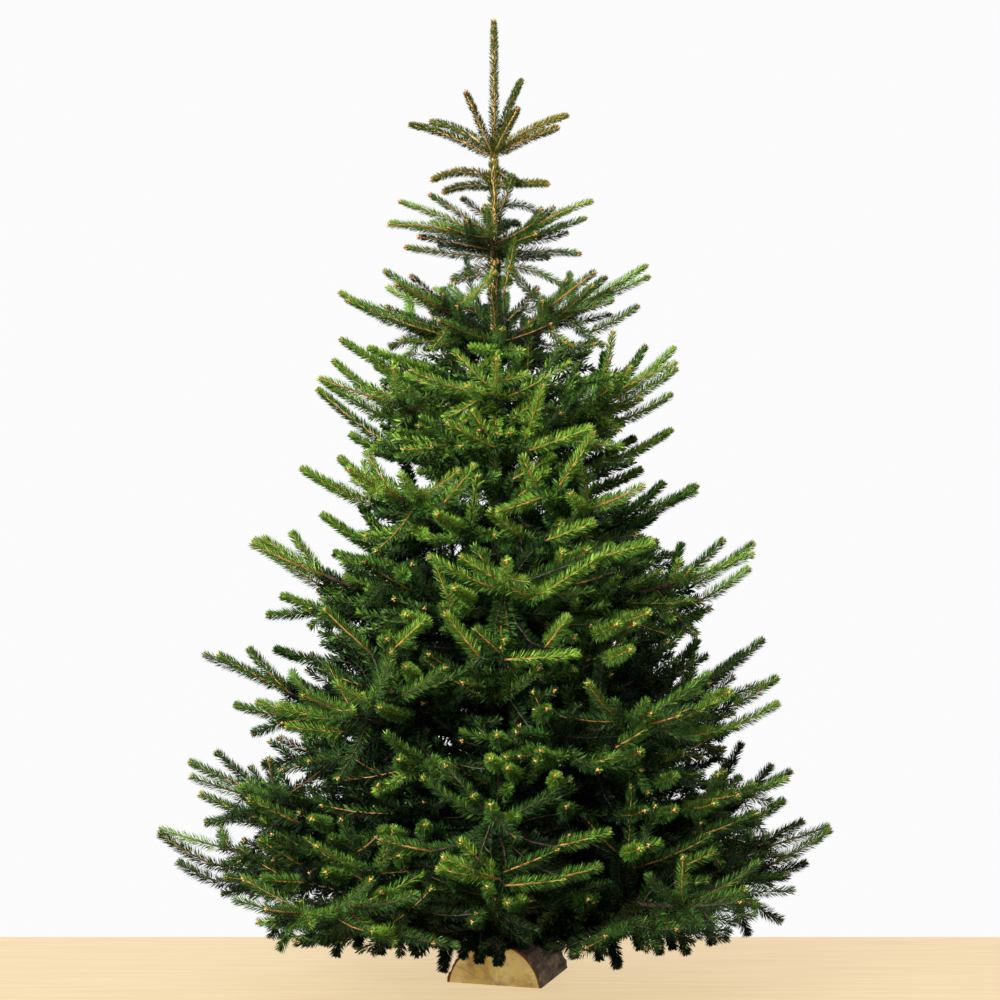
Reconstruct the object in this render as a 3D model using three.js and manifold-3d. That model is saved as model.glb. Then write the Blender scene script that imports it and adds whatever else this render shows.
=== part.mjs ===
// A cut spruce, 1.75 m tall, as sold for Christmas, standing in a halved log.
// Units are millimetres and degrees. +Z is up, +X is to the right and -Y is to the front.
// The origin is the middle of the log's flat underside.
import * as THREE from "three";
import { mergeVertices } from "three/addons/utils/BufferGeometryUtils.js";
import Module from "manifold-3d";

const wasm = await Module();
wasm.setup();

// ---- Driving dimensions ----

const TREE_HEIGHT = 1750; // log's underside to the leader's tip
const GAP = 0.3; // left between pieces that touch
const FLOOR_CLEARANCE = 22; // under the lowest needles

// the halved log
const LOG_WIDTH = 178; // across the sawn flat
const LOG_LENGTH = 178; // between the sawn ends
const LOG_HEIGHT = 78; // flat underside to the top of the bark
const LOG_TURN = -17; // about Z, from lying front to back
const LOG_ARC_STEPS = 14;
const SOCKET_FLOOR = 20; // wood left under the trunk's foot
const LOG_VIEW = { width: 190, length: 860, height: 92 }; // space that twigs leave open round it

// the trunk: its radii run straight from butt to fork, with a flare at the butt
const FORK_HEIGHT = 1497; // where the top whorl and the leader start
const BUTT_RADIUS = 20;
const FORK_RADIUS = 4.6;
const FLARE_RADIUS = 4; // added at the butt
const FLARE_FADE = 60; // height over which the flare dies away
const TRUNK_LEAN = 26; // sideways, to the left, from butt to fork
const TRUNK_SIDES = 12;
const TRUNK_STEPS = 9;

// limbs
const YEAR = 136; // one year's growth of a bough
const BOUGH_RADIUS = 8.5; // at the trunk, on a bough of LONG_BOUGH
const LONG_BOUGH = 650;
const MOST_YEARS = 6; // of growth that a bough carries twigs on
const TWIG_RADIUS = 2.2; // at a bough's last three twigs
const BOUGH_SIDES = 5;
const BOUGH_STEPS = 2;
const STEM_SIDES = 3;

// twigs, three to each year of a bough
const TWIG_TURNS = [
  [28, 152, -90], // degrees round the bough, from its right over its top: one twig hangs
  [-22, 202, 90], // the year before: one twig stands up
];
const TWIG_STAGGER = 0.16; // of a year, between one twig and the next
const TWIG_ANGLE = 64; // from the bough they grow on
const TWIG_SHARE = 0.58; // of the length that the bough still has to go
const TWIG_LEAST = 62;
const TWIG_CURL = 0.18; // upward bend at the tip, as a share of the length
const TWIG_FITS = [1, 0.82, 0.66]; // shorter twigs that are tried where the space is tight

// a spray of needles: a three-sided toothed blade that stands for a twig and its shoots
const SPRAY_WIDTH_SHARE = 0.19; // half width, as a share of the length
const SPRAY_WIDTH_LEAST = 17;
const SPRAY_WIDTH_MOST = 64;
const SPRAY_FLATNESS = 0.95; // height of the ridge over half the width
const SHORT_SPRAY = 150; // a spray under this length has two rows of teeth, others have three
const SPRAY_SUNK = 4; // root's depth past the middle of its stem
const ROOT_SHARE = 0.22; // of its length, where it may touch the sprays beside it
const TOOTH_END = 0.86; // share of its length where the last tooth ends
const SPRAY_TAPER = 0.5; // width that the last tooth lacks of the first
const NOTCH_DEPTH = 0.5; // width left between two teeth
const SHOOT_HALF_WIDTH = 16; // of the single shoot at a bough's tip
const ROLL = 28; // how far a spray turns about its own stem, either way

// the shoots of the top whorl, round the leader
const TOP_SHOOTS = 7;
const TOP_SHOOT_LENGTH = 158;
const TOP_SHOOT_RISE = [24, 62]; // degrees above level, flattest and steepest
const LEADER_HALF_WIDTH = 12;
const LEADER_ROWS = 6;

// two short shoots on the trunk under the top whorl
const UPPER_SHOOT_HEIGHT = 1450;
const UPPER_SHOOT_LENGTH = 104;

// The whorls of boughs, from the top down. reach and tip are for the boughs to the right and to
// the left: how far the tip stands from the trunk, and how high over the floor. sag is how far the
// bough hangs under a straight line at its middle, depth the longest twig over or under it, and
// droop how steeply its twigs point down.
const TIERS = [
  { number: 2, height: 1325, reach: [185, 191], tip: [1403, 1378], sag: -12, depth: 80, droop: 0.14 },
  { number: 3, height: 1152, reach: [294, 301], tip: [1275, 1252], sag: -6, depth: 105, droop: 0.1 },
  { number: 4, height: 985, reach: [331, 332], tip: [1123, 1100], sag: 4, depth: 125, droop: 0.06 },
  { number: 5, height: 820, reach: [392, 386], tip: [891, 931], sag: 12, depth: 130, droop: 0.04 },
  { number: 6, height: 650, reach: [474, 460], tip: [793, 804], sag: 22, depth: 160, droop: 0.08 },
  { number: 7, height: 482, reach: [545, 572], tip: [520, 566], sag: 30, depth: 170, droop: 0.14 },
  { number: 8, height: 325, reach: [530, 592], tip: [393, 406], sag: 40, depth: 170, droop: 0.22 },
  { number: 9, height: 200, reach: [640, 698], tip: [239, 226], sag: 34, depth: 185, droop: 0.34 },
];
const BARE_FROM = 7; // from this tier down, a bough has no foliage next to the trunk
const BARE_SHARE = 0.17; // of its length
const BOUGHS_PER_TIER = 5;
const HEIGHT_SCATTER = 16; // of where the boughs of one whorl leave the trunk
const TIP_SCATTER = 12; // of the height of their tips
const AZIMUTH_SCATTER = 5;
const REACH_SCATTER = 0.02;

// ---- Looks ----

const wood = new THREE.MeshStandardMaterial({ color: 0xcfa968, roughness: 0.75, metalness: 0 });
const trunkBark = new THREE.MeshStandardMaterial({ color: 0x8a6a45, roughness: 0.9, metalness: 0 });
const boughBark = new THREE.MeshStandardMaterial({ color: 0x6e5138, roughness: 0.9, metalness: 0 });
const needles = new THREE.MeshStandardMaterial({ color: 0x2f5a20, roughness: 0.6, metalness: 0 });
const topNeedles = new THREE.MeshStandardMaterial({ color: 0x44702a, roughness: 0.6, metalness: 0 });

// ---- Scatter that is the same on every run ----

// from 0 to 1
function vary(seed) {
  const wave = Math.sin(seed * 12.9898 + 4.1414) * 43758.5453;
  return wave - Math.floor(wave);
}

// from -1 to 1
function sway(seed) {
  return 2 * vary(seed) - 1;
}

// ---- Centre lines ----

const UP = new THREE.Vector3(0, 0, 1);
const RIGHT = new THREE.Vector3(1, 0, 0);

// The centre line of a trunk, bough, twig or spray: start + sweep * share + bow * share squared.
class Limb extends THREE.Curve {
  constructor(start, sweep, bow) {
    super();
    this.start = start;
    this.sweep = sweep;
    this.bow = bow;
  }

  getPoint(share, target = new THREE.Vector3()) {
    return target
      .copy(this.start)
      .addScaledVector(this.sweep, share)
      .addScaledVector(this.bow, share * share);
  }

  heading(share) {
    return this.sweep.clone().addScaledVector(this.bow, 2 * share).normalize();
  }

  size() {
    return this.getPoint(1).distanceTo(this.start);
  }

  // the stretch from one share of the limb to another
  part(from, to) {
    const span = to - from;
    const sweep = this.sweep.clone().addScaledVector(this.bow, 2 * from).multiplyScalar(span);
    return new Limb(this.getPoint(from), sweep, this.bow.clone().multiplyScalar(span * span));
  }
}

// A limb of one length from a point, towards a heading, that bends up (or down, if curl is below 0).
function limbTowards(start, heading, length, curl) {
  const sweep = heading.clone().multiplyScalar(length);
  return new Limb(start, sweep, UP.clone().multiplyScalar(curl * length));
}

const trunkLine = new Limb(
  new THREE.Vector3(0, 0, SOCKET_FLOOR),
  new THREE.Vector3(-2 * TRUNK_LEAN, 0, FORK_HEIGHT - SOCKET_FLOOR),
  new THREE.Vector3(TRUNK_LEAN, 0, 0),
);

function trunkPoint(height) {
  return trunkLine.getPoint((height - SOCKET_FLOOR) / (FORK_HEIGHT - SOCKET_FLOOR));
}

function trunkRadius(height) {
  const share = (height - SOCKET_FLOOR) / (FORK_HEIGHT - SOCKET_FLOOR);
  const flare = FLARE_RADIUS * Math.exp(-(height - SOCKET_FLOOR) / FLARE_FADE);
  return THREE.MathUtils.lerp(BUTT_RADIUS, FORK_RADIUS, share) + flare;
}

// ---- Shapes along a centre line ----

// Bends a shape along a limb: its y from 0 to 1 runs along the limb, its x is sideways and its z
// is upwards, in millimetres. roll turns it about the limb, in degrees.
function bendAlong(shape, limb, reference = UP, roll = 0) {
  const points = shape.attributes.position;
  for (let i = 0; i < points.count; i++) {
    const share = points.getY(i);
    const along = limb.heading(THREE.MathUtils.clamp(share, 0, 1));
    const side = along.clone().cross(reference).normalize();
    side.applyAxisAngle(along, THREE.MathUtils.degToRad(roll));
    const over = side.clone().cross(along);
    const place = limb
      .getPoint(share)
      .addScaledVector(side, points.getX(i))
      .addScaledVector(over, points.getZ(i));
    points.setXYZ(i, place.x, place.y, place.z);
  }
  return shape;
}

// A round limb whose radius follows radiusAt(share).
function roundLimb(limb, radiusAt, sides, steps, reference = UP) {
  const shape = new THREE.CylinderGeometry(1, 1, 1, sides, steps);
  shape.translate(0, 0.5, 0);
  const points = shape.attributes.position;
  for (let i = 0; i < points.count; i++) {
    const radius = radiusAt(points.getY(i));
    points.setX(i, points.getX(i) * radius);
    points.setZ(i, points.getZ(i) * radius);
  }
  return bendAlong(shape, limb, reference);
}

// A toothed blade of needles along a limb. It starts as a point, sunk in past the middle of the
// limb it grows on, and its teeth lean towards the tip and get narrower.
function spray(limb, halfWidth, rows, roll) {
  const outline = [new THREE.Vector2(0, -SPRAY_SUNK / limb.size())];
  for (let row = 1; row <= rows; row++) {
    const width = halfWidth * (1 - SPRAY_TAPER * ((row - 1) / (rows - 1)) ** 1.3);
    outline.push(new THREE.Vector2(width, (TOOTH_END * row) / rows));
    if (row === rows) break;
    outline.push(new THREE.Vector2(width * NOTCH_DEPTH, 0.04 + (TOOTH_END * row) / rows));
  }
  outline.push(new THREE.Vector2(0, 1));
  const shape = new THREE.LatheGeometry(outline, 3);
  const corner = Math.cos(Math.PI / 6);
  shape.scale(1 / corner, 1, SPRAY_FLATNESS);
  return bendAlong(shape, limb, UP, roll);
}

// ---- Solids ----

function solidOf(geometry) {
  const bare = geometry.clone();
  bare.deleteAttribute("normal");
  bare.deleteAttribute("uv");
  const merged = mergeVertices(bare, 1e-3);
  return new wasm.Manifold(
    new wasm.Mesh({
      numProp: 3,
      vertProperties: merged.attributes.position.array,
      triVerts: new Uint32Array(merged.index.array),
    }),
  );
}

function geometryOf(solid) {
  const { vertProperties, triVerts } = solid.getMesh();
  const geometry = new THREE.BufferGeometry();
  geometry.setAttribute("position", new THREE.BufferAttribute(vertProperties, 3));
  geometry.setIndex(new THREE.BufferAttribute(triVerts, 1));
  geometry.computeVertexNormals();
  return geometry;
}

function fuse(geometries) {
  return geometries.map(solidOf).reduce((whole, piece) => whole.add(piece));
}

// The largest body of a solid. A cut can leave a scrap beside it.
function mainBody(solid) {
  return solid.decompose().reduce((best, body) => (body.volume() > best.volume() ? body : best));
}

const tree = new THREE.Group();

function addNode(name, geometry, material) {
  const mesh = new THREE.Mesh(geometry, material);
  mesh.name = name;
  tree.add(mesh);
}

// ---- The space that is taken ----

const taken = [];

function boxOf(solid) {
  const { min, max } = solid.boundingBox();
  return new THREE.Box3(new THREE.Vector3(...min), new THREE.Vector3(...max));
}

function claim(owner, solid) {
  taken.push({ owner, solid, box: boxOf(solid) });
}

function meets(solid, box, other) {
  return box.intersectsBox(other.box) && solid.minGap(other.solid, 2 * GAP) <= GAP;
}

// Whether a spray has room: all of it keeps clear of the floor and of the pieces of other owners,
// and from its root on it keeps clear of the other sprays on its own bough.
function hasRoom(owner, solid, limb) {
  const box = boxOf(solid).expandByScalar(GAP);
  if (box.min.z < FLOOR_CLEARANCE) return false;
  if (taken.some((other) => other.owner !== owner && meets(solid, box, other))) return false;
  const along = limb.heading(ROOT_SHARE);
  const outer = solid.trimByPlane(along.toArray(), along.dot(limb.getPoint(ROOT_SHARE)));
  return !taken.some((other) => other.owner === owner && meets(outer, box, other));
}

// ---- The trunk ----

function trunkShape(extraRadius, extraDepth) {
  const line = trunkLine.part(-extraDepth / (FORK_HEIGHT - SOCKET_FLOOR), 1);
  const radiusAt = (share) => trunkRadius(line.getPoint(share).z) + extraRadius;
  return roundLimb(line, radiusAt, TRUNK_SIDES, TRUNK_STEPS, RIGHT);
}

addNode("trunk", trunkShape(0, 0), trunkBark);

// The trunk grown by the gap, which is cut out of all that meets it.
const trunkClearance = solidOf(trunkShape(GAP, GAP));

// ---- The halved log, with the socket that the trunk stands in ----

function logShape() {
  const halfWidth = LOG_WIDTH / 2;
  const radius = (halfWidth ** 2 + LOG_HEIGHT ** 2) / (2 * LOG_HEIGHT);
  const axisHeight = LOG_HEIGHT - radius;
  const fromAngle = Math.asin(-axisHeight / radius);
  const profile = new THREE.Shape();
  profile.moveTo(halfWidth, 0);
  for (let i = 1; i <= LOG_ARC_STEPS; i++) {
    const angle = THREE.MathUtils.lerp(fromAngle, Math.PI - fromAngle, i / LOG_ARC_STEPS);
    profile.lineTo(radius * Math.cos(angle), axisHeight + radius * Math.sin(angle));
  }
  const shape = new THREE.ExtrudeGeometry(profile, { depth: LOG_LENGTH, bevelEnabled: false });
  shape.translate(0, 0, -LOG_LENGTH / 2);
  shape.rotateX(Math.PI / 2);
  shape.rotateZ(THREE.MathUtils.degToRad(LOG_TURN));
  return shape;
}

const log = solidOf(logShape()).subtract(trunkClearance);
addNode("log_stand", geometryOf(log), wood);
claim("log_stand", log);

// The twigs in front of the log and behind it are kept up, so that the log shows.
const logView = wasm.Manifold.cube([LOG_VIEW.width, LOG_VIEW.length, LOG_VIEW.height], true);
claim("log_stand", logView.translate(0, 0, LOG_VIEW.height / 2));

// ---- The boughs: where each one runs ----

const DIRECTIONS = [
  "right",
  "back_right",
  "back",
  "back_left",
  "left",
  "front_left",
  "front",
  "front_right",
];

// Every other whorl has a bough to the front, and the ones between have a bough to the back.
function boughLine(tier, index) {
  const seed = tier.number * 10 + index;
  const azimuth = (tier.number % 2 === 0 ? 270 : 90) + (360 / BOUGHS_PER_TIER) * index;
  const direction = DIRECTIONS[Math.round((azimuth % 360) / 45) % 8];
  const angle = THREE.MathUtils.degToRad(azimuth + AZIMUTH_SCATTER * sway(seed));
  const toRight = (1 + Math.cos(angle)) / 2;
  const reach =
    THREE.MathUtils.lerp(tier.reach[1], tier.reach[0], toRight) *
    (1 + REACH_SCATTER * sway(seed + 0.3));
  const tip =
    THREE.MathUtils.lerp(tier.tip[1], tier.tip[0], toRight) + TIP_SCATTER * sway(seed + 0.6);
  const start = trunkPoint(tier.height + HEIGHT_SCATTER * sway(seed + 0.9));
  const sweep = new THREE.Vector3(
    reach * Math.cos(angle),
    reach * Math.sin(angle),
    tip - start.z - 4 * tier.sag,
  );
  const line = new Limb(start, sweep, UP.clone().multiplyScalar(4 * tier.sag));
  const name = `tier_${tier.number}_${direction}`;
  const bare = tier.number < BARE_FROM ? 0 : BARE_SHARE;
  return { name, tier, seed, line, bare, year: YEAR / line.size() };
}

// The radius of a bough's wood, from the trunk to its last three twigs.
function boughRadius(bough, share) {
  const atTrunk = BOUGH_RADIUS * Math.sqrt(bough.line.size() / LONG_BOUGH);
  return THREE.MathUtils.lerp(atTrunk, TWIG_RADIUS, Math.min(1, share * 1.1));
}

const boughs = TIERS.flatMap((tier) =>
  Array.from({ length: BOUGHS_PER_TIER }, (_, index) => boughLine(tier, index)),
);

// ---- Foliage ----

// A twig of a bough: it leaves the bough at a share of its length, on the side that turn says.
function twigLine(bough, share, turn, fit) {
  const { tier, line } = bough;
  const seed = bough.seed + share * 7.7 + turn * 0.013;
  const along = line.heading(share);
  const side = along.clone().cross(UP).normalize();
  const over = side.clone().cross(along);
  const round = THREE.MathUtils.degToRad(turn + 12 * sway(seed + 0.2));
  const angle = THREE.MathUtils.degToRad(TWIG_ANGLE * (1 + 0.12 * sway(seed)));
  const heading = along
    .multiplyScalar(Math.cos(angle))
    .addScaledVector(side, Math.sin(angle) * Math.cos(round))
    .addScaledVector(over, Math.sin(angle) * Math.sin(round))
    .addScaledVector(UP, -tier.droop)
    .normalize();
  const toGo = (1 - share) * line.size();
  const longest = Math.abs(Math.sin(round)) > 0.8 ? tier.depth : Infinity;
  const length = Math.min(longest, TWIG_LEAST + TWIG_SHARE * toGo);
  const spread = 1 + 0.12 * sway(seed + 0.5);
  return limbTowards(line.getPoint(share), heading, length * spread * fit, TWIG_CURL);
}

function spraySolid(limb, roll) {
  const length = limb.size();
  const halfWidth = Math.min(SPRAY_WIDTH_MOST, SPRAY_WIDTH_LEAST + SPRAY_WIDTH_SHARE * length);
  return solidOf(spray(limb, halfWidth, length < SHORT_SPRAY ? 2 : 3, roll));
}

// Starts a bough's foliage: the stem, from the end of the bare wood to the last three twigs, and
// the single shoot at its tip.
function startFoliage(bough) {
  const { line, bare, year, name } = bough;
  const stem = line.part(bare, 1 - 0.9 * year);
  const radiusAt = (share) => boughRadius(bough, bare + share * (1 - year - bare));
  const steps = Math.round(stem.size() / YEAR) + 1;
  const stemSolid = solidOf(roundLimb(stem, radiusAt, STEM_SIDES, steps));
  const tipSolid = solidOf(spray(line.part(1 - year, 1), SHOOT_HALF_WIDTH, 3, 0));
  bough.foliage = [stemSolid, tipSolid];
  for (const solid of bough.foliage) claim(name, solid);
}

// Grows one year's three twigs on a bough, one a little further in than the other. A twig that has
// no room is tried shorter, then skipped.
function growYear(bough, yearsBack) {
  TWIG_TURNS[(yearsBack + 1) % 2].forEach((turn, place) => {
    const share = 1 - (yearsBack + place * TWIG_STAGGER) * bough.year;
    if (share < bough.bare + 0.03) return;
    const roll = ROLL * sway(bough.seed + share + turn);
    for (const fit of TWIG_FITS) {
      const limb = twigLine(bough, share, turn, fit);
      const solid = spraySolid(limb, roll);
      if (!hasRoom(bough.name, solid, limb)) continue;
      claim(bough.name, solid);
      bough.foliage.push(solid);
      return;
    }
  });
}

for (const bough of boughs) {
  const { line, bare, name } = bough;
  if (bare > 0) {
    const wooden = line.part(0, bare - GAP / line.size());
    const radiusAt = (share) => boughRadius(bough, share * bare);
    const solid = solidOf(roundLimb(wooden, radiusAt, BOUGH_SIDES, BOUGH_STEPS));
    claim(name, solid);
    addNode(`${name}_bough`, geometryOf(solid.subtract(trunkClearance)), boughBark);
  }
  startFoliage(bough);
}

// The crown fills from its outside inwards, so the outer twigs have the first claim to the room.
for (let yearsBack = 1; yearsBack <= MOST_YEARS; yearsBack++) {
  for (const bough of boughs) growYear(bough, yearsBack);
}

for (const bough of boughs) {
  const foliage = wasm.Manifold.union(bough.foliage).subtract(trunkClearance);
  addNode(`${bough.name}_foliage`, geometryOf(mainBody(foliage)), needles);
}

// ---- The crown's top: the leader, and the whorl of shoots at its foot ----

function topWhorl() {
  const foot = trunkPoint(FORK_HEIGHT).addScaledVector(UP, GAP);
  const leaderLength = TREE_HEIGHT - foot.z;
  const leader = new Limb(foot, UP.clone().multiplyScalar(leaderLength), new THREE.Vector3());
  const shapes = [
    roundLimb(leader, (share) => FORK_RADIUS * (1 - 0.6 * share), 6, 1, RIGHT),
    bendAlong(leaderNeedles(), leader, RIGHT),
  ];
  for (let i = 0; i < TOP_SHOOTS; i++) {
    const angle = (2 * Math.PI * i) / TOP_SHOOTS + Math.PI;
    const rise = THREE.MathUtils.lerp(...TOP_SHOOT_RISE, vary(i + 0.5) * Math.sin(angle) ** 2);
    const level = Math.cos(THREE.MathUtils.degToRad(rise));
    const heading = new THREE.Vector3(
      level * Math.cos(angle),
      level * Math.sin(angle),
      Math.sin(THREE.MathUtils.degToRad(rise)),
    );
    const from = leader.getPoint(0.03 + 0.02 * vary(i));
    const length = TOP_SHOOT_LENGTH * (1 + 0.08 * sway(i + 0.7));
    shapes.push(spray(limbTowards(from, heading, length, -0.06), SHOOT_HALF_WIDTH, 3, 0));
  }
  return fuse(shapes);
}

// The leader's needles: short teeth that lean up all the way along it.
function leaderNeedles() {
  const rise = 0.94 / LEADER_ROWS;
  const outline = [new THREE.Vector2(0, 0.04)];
  for (let row = 0; row < LEADER_ROWS; row++) {
    const width = LEADER_HALF_WIDTH * (1 - (0.35 * row) / LEADER_ROWS);
    outline.push(new THREE.Vector2(width * NOTCH_DEPTH, 0.05 + rise * row));
    outline.push(new THREE.Vector2(width, 0.05 + rise * (row + 0.95)));
  }
  outline.push(new THREE.Vector2(0, 1));
  return new THREE.LatheGeometry(outline, 5);
}

addNode("crown_top", geometryOf(topWhorl()), topNeedles);

for (const hand of [-1, 1]) {
  const heading = new THREE.Vector3(hand, -0.3, 0.16).normalize();
  const limb = limbTowards(trunkPoint(UPPER_SHOOT_HEIGHT), heading, UPPER_SHOOT_LENGTH, -0.1);
  const shoot = solidOf(spray(limb, SHOOT_HALF_WIDTH, 3, 0)).subtract(trunkClearance);
  addNode(`upper_shoot_${hand < 0 ? "left" : "right"}`, geometryOf(mainBody(shoot)), topNeedles);
}

export default tree;
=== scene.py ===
# %% [markdown]
# # A cut spruce in a halved log
# This lesson dresses a young spruce, 1.75 m tall, that was cut for Christmas and set upright in
# half a log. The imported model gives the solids: a log, a trunk, boughs and masses of foliage.
# We keep their places and their reach, and put real bark, twigs, needles and buds there instead.

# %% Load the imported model
import math

import bmesh
import bpy
import numpy as np
from mathutils import Matrix, Vector, noise


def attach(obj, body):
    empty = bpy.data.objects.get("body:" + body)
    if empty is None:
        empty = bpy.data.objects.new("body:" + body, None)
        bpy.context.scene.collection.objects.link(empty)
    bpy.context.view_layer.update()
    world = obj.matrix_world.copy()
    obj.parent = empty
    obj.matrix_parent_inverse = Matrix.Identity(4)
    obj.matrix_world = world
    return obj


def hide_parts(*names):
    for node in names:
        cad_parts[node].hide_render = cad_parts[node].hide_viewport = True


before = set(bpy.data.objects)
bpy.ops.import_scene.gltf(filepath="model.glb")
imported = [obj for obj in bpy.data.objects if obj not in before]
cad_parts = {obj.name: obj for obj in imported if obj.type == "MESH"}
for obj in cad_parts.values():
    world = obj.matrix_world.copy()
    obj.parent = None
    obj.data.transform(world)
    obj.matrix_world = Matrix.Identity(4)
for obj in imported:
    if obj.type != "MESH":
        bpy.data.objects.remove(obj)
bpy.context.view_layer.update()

MM = 0.001
print("nodes:", len(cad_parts))

# %% [markdown]
# ## The camera and the studio
# The tree stands on a pale wooden bench in front of an empty white room. A long lens well back
# keeps the crown's outline true. A white world gives the soft light from all round, and one big
# soft lamp, up and to the left of the camera, gives the shoots a lit side. The deep shade in the
# crown comes partly from the needles that stand in front of each other and partly from painted
# shade: needles inside the crown, low down and under each shoot get deeper tones. The bench glows
# with its own colour, painted light that keeps the tree's shadow on it faint.

# %% Camera
CAMERA_PLACE = (-0.015, -4.5, 1.010)
CAMERA_TILT = 1.72  # degrees under the horizon
CAMERA_LENS, CAMERA_SENSOR = 88.5, 36  # mm

camera = bpy.data.objects.new("camera", bpy.data.cameras.new("camera"))
camera.data.lens = CAMERA_LENS
camera.data.sensor_width = CAMERA_SENSOR
camera.location = CAMERA_PLACE
camera.rotation_euler = (math.radians(90 - CAMERA_TILT), 0, 0)
bpy.context.collection.objects.link(camera)
bpy.context.scene.camera = camera
bpy.context.scene.view_settings.view_transform = "Standard"
print("camera at", CAMERA_PLACE)

# %% Light
WORLD_LIGHT = 0.97
LAMP_PLACE, LAMP_AIM, LAMP_SIZE, LAMP_WATTS = (-2.6, -4.2, 3.0), (0, 0, 0.8), 2.2, 720

world = bpy.data.worlds.new("white_room")
world.use_nodes = True
world.node_tree.nodes["Background"].inputs["Color"].default_value = (1, 1, 1, 1)
world.node_tree.nodes["Background"].inputs["Strength"].default_value = WORLD_LIGHT
bpy.context.scene.world = world

lamp = bpy.data.objects.new("soft_lamp", bpy.data.lights.new("soft_lamp", "AREA"))
lamp.data.size = LAMP_SIZE
lamp.data.energy = LAMP_WATTS
lamp.location = LAMP_PLACE
lamp.rotation_euler = (Vector(LAMP_AIM) - lamp.location).to_track_quat("-Z", "Y").to_euler()
bpy.context.collection.objects.link(lamp)
print("one lamp of", LAMP_WATTS, "W")

# %% [markdown]
# ## Finishes
# Every finish is made of shader nodes on Object coordinates, so the patterns stay on the piece.
# A few helpers keep that short: one adds a node, one makes a mottled colour from noise, and one
# roughens the surface with a bump.


# %% Helpers for finishes
def add_node(material, kind, **values):
    """Adds a shader node and sets its options and its inputs by name."""
    node = material.node_tree.nodes.new(kind)
    for name, value in values.items():
        if name in node.inputs:
            node.inputs[name].default_value = value
        else:
            setattr(node, name, value)
    return node


def join(material, source, target):
    material.node_tree.links.new(source, target)


def new_finish(name, colour, roughness, specular=0.5):
    """A material with a plain colour, and its Principled shader."""
    material = bpy.data.materials.new(name)
    material.use_nodes = True
    shader = material.node_tree.nodes["Principled BSDF"]
    shader.inputs["Base Color"].default_value = (*colour, 1)
    shader.inputs["Roughness"].default_value = roughness
    shader.inputs["Specular IOR Level"].default_value = specular
    material.diffuse_color = (*colour, 1)
    return material, shader


def place_on(material, scale=(1, 1, 1), turn=0.0, shift=(0, 0, 0)):
    """Object coordinates, turned about Z, moved and stretched."""
    coordinates = add_node(material, "ShaderNodeTexCoord")
    turned = add_node(material, "ShaderNodeMapping", Rotation=(0, 0, turn))
    moved = add_node(material, "ShaderNodeMapping", Location=shift, Scale=scale)
    join(material, coordinates.outputs["Object"], turned.inputs["Vector"])
    join(material, turned.outputs["Vector"], moved.inputs["Vector"])
    return moved.outputs["Vector"]


def noise_on(material, vector, scale, detail=4.0, roughness=0.6):
    texture = add_node(material, "ShaderNodeTexNoise", Scale=scale, Detail=detail, Roughness=roughness)
    join(material, vector, texture.inputs["Vector"])
    return texture.outputs["Fac"]


def ramp(material, value, stops):
    """A colour ramp; stops are (place, colour)."""
    node = add_node(material, "ShaderNodeValToRGB")
    while len(node.color_ramp.elements) < len(stops):
        node.color_ramp.elements.new(0.5)
    for element, (place, colour) in zip(node.color_ramp.elements, stops):
        element.position = place
        element.color = (*colour, 1)
    join(material, value, node.inputs["Fac"])
    return node.outputs["Color"]


def mixed(material, share, first, second, blend="MIX"):
    """Mixes two colours; share is a socket or a number."""
    node = add_node(material, "ShaderNodeMix", data_type="RGBA", blend_type=blend)
    ends = [s for s in node.inputs if s.type == "RGBA"]
    for socket, colour in zip(ends, (first, second)):
        if isinstance(colour, tuple):
            socket.default_value = (*colour, 1)
        else:
            join(material, colour, socket)
    if isinstance(share, (int, float)):
        node.inputs["Factor"].default_value = share
    else:
        join(material, share, node.inputs["Factor"])
    return next(s for s in node.outputs if s.type == "RGBA")


def bumped(material, shader, height, strength, distance):
    bump = add_node(material, "ShaderNodeBump", Strength=strength, Distance=distance)
    join(material, height, bump.inputs["Height"])
    join(material, bump.outputs["Normal"], shader.inputs["Normal"])


print("helpers ready")

# %% [markdown]
# ### Needles
# A spruce's needles are waxy and four-sided, so they are a little glossy. Last summer's needles
# are fresh and yellowish at the shoots' ends and older ones are deeper. The darkest tones are
# painted shade: needles inside the crown, low down and under a shoot get them, so those inside
# the crown are nearly black. A colour that belongs to one shoot is a plain base colour, dealt out
# shoot by shoot, and a fine bump stands for the rows of pores.

# %% Needle finishes, from the lightest to the darkest: young needles, older ones and painted shade
NEEDLE_TONES = [
    ("needle_tip", (0.220, 0.345, 0.045)),
    ("needle_fresh", (0.122, 0.232, 0.023)),
    ("needle_green", (0.056, 0.128, 0.016)),
    ("needle_deep", (0.026, 0.068, 0.011)),
    ("needle_shade", (0.009, 0.028, 0.006)),
    ("needle_inner_painted_shade", (0.003, 0.010, 0.003)),
]
TOP_TONES = [
    ("top_needle_tip", (0.140, 0.128, 0.019)),
    ("top_needle_olive", (0.165, 0.142, 0.018)),
    ("top_needle_green", (0.040, 0.068, 0.010)),
]
WAX_ROUGHNESS, WAX_SPECULAR = 0.45, 0.14
PORE_SCALE, PORE_DETAIL, PORE_STRENGTH, PORE_DEPTH = 900, 2, 0.25, 0.0004


def needle_finish(name, colour):
    """A waxy finish in one tone."""
    material, shader = new_finish(name, colour, WAX_ROUGHNESS, WAX_SPECULAR)
    pores = noise_on(material, place_on(material), PORE_SCALE, PORE_DETAIL)
    bumped(material, shader, pores, PORE_STRENGTH, PORE_DEPTH)
    return material


needle_finishes = [needle_finish(*tone) for tone in NEEDLE_TONES]
top_finishes = [needle_finish(*tone) for tone in TOP_TONES]
print("needle finishes:", len(needle_finishes) + len(top_finishes))

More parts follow.
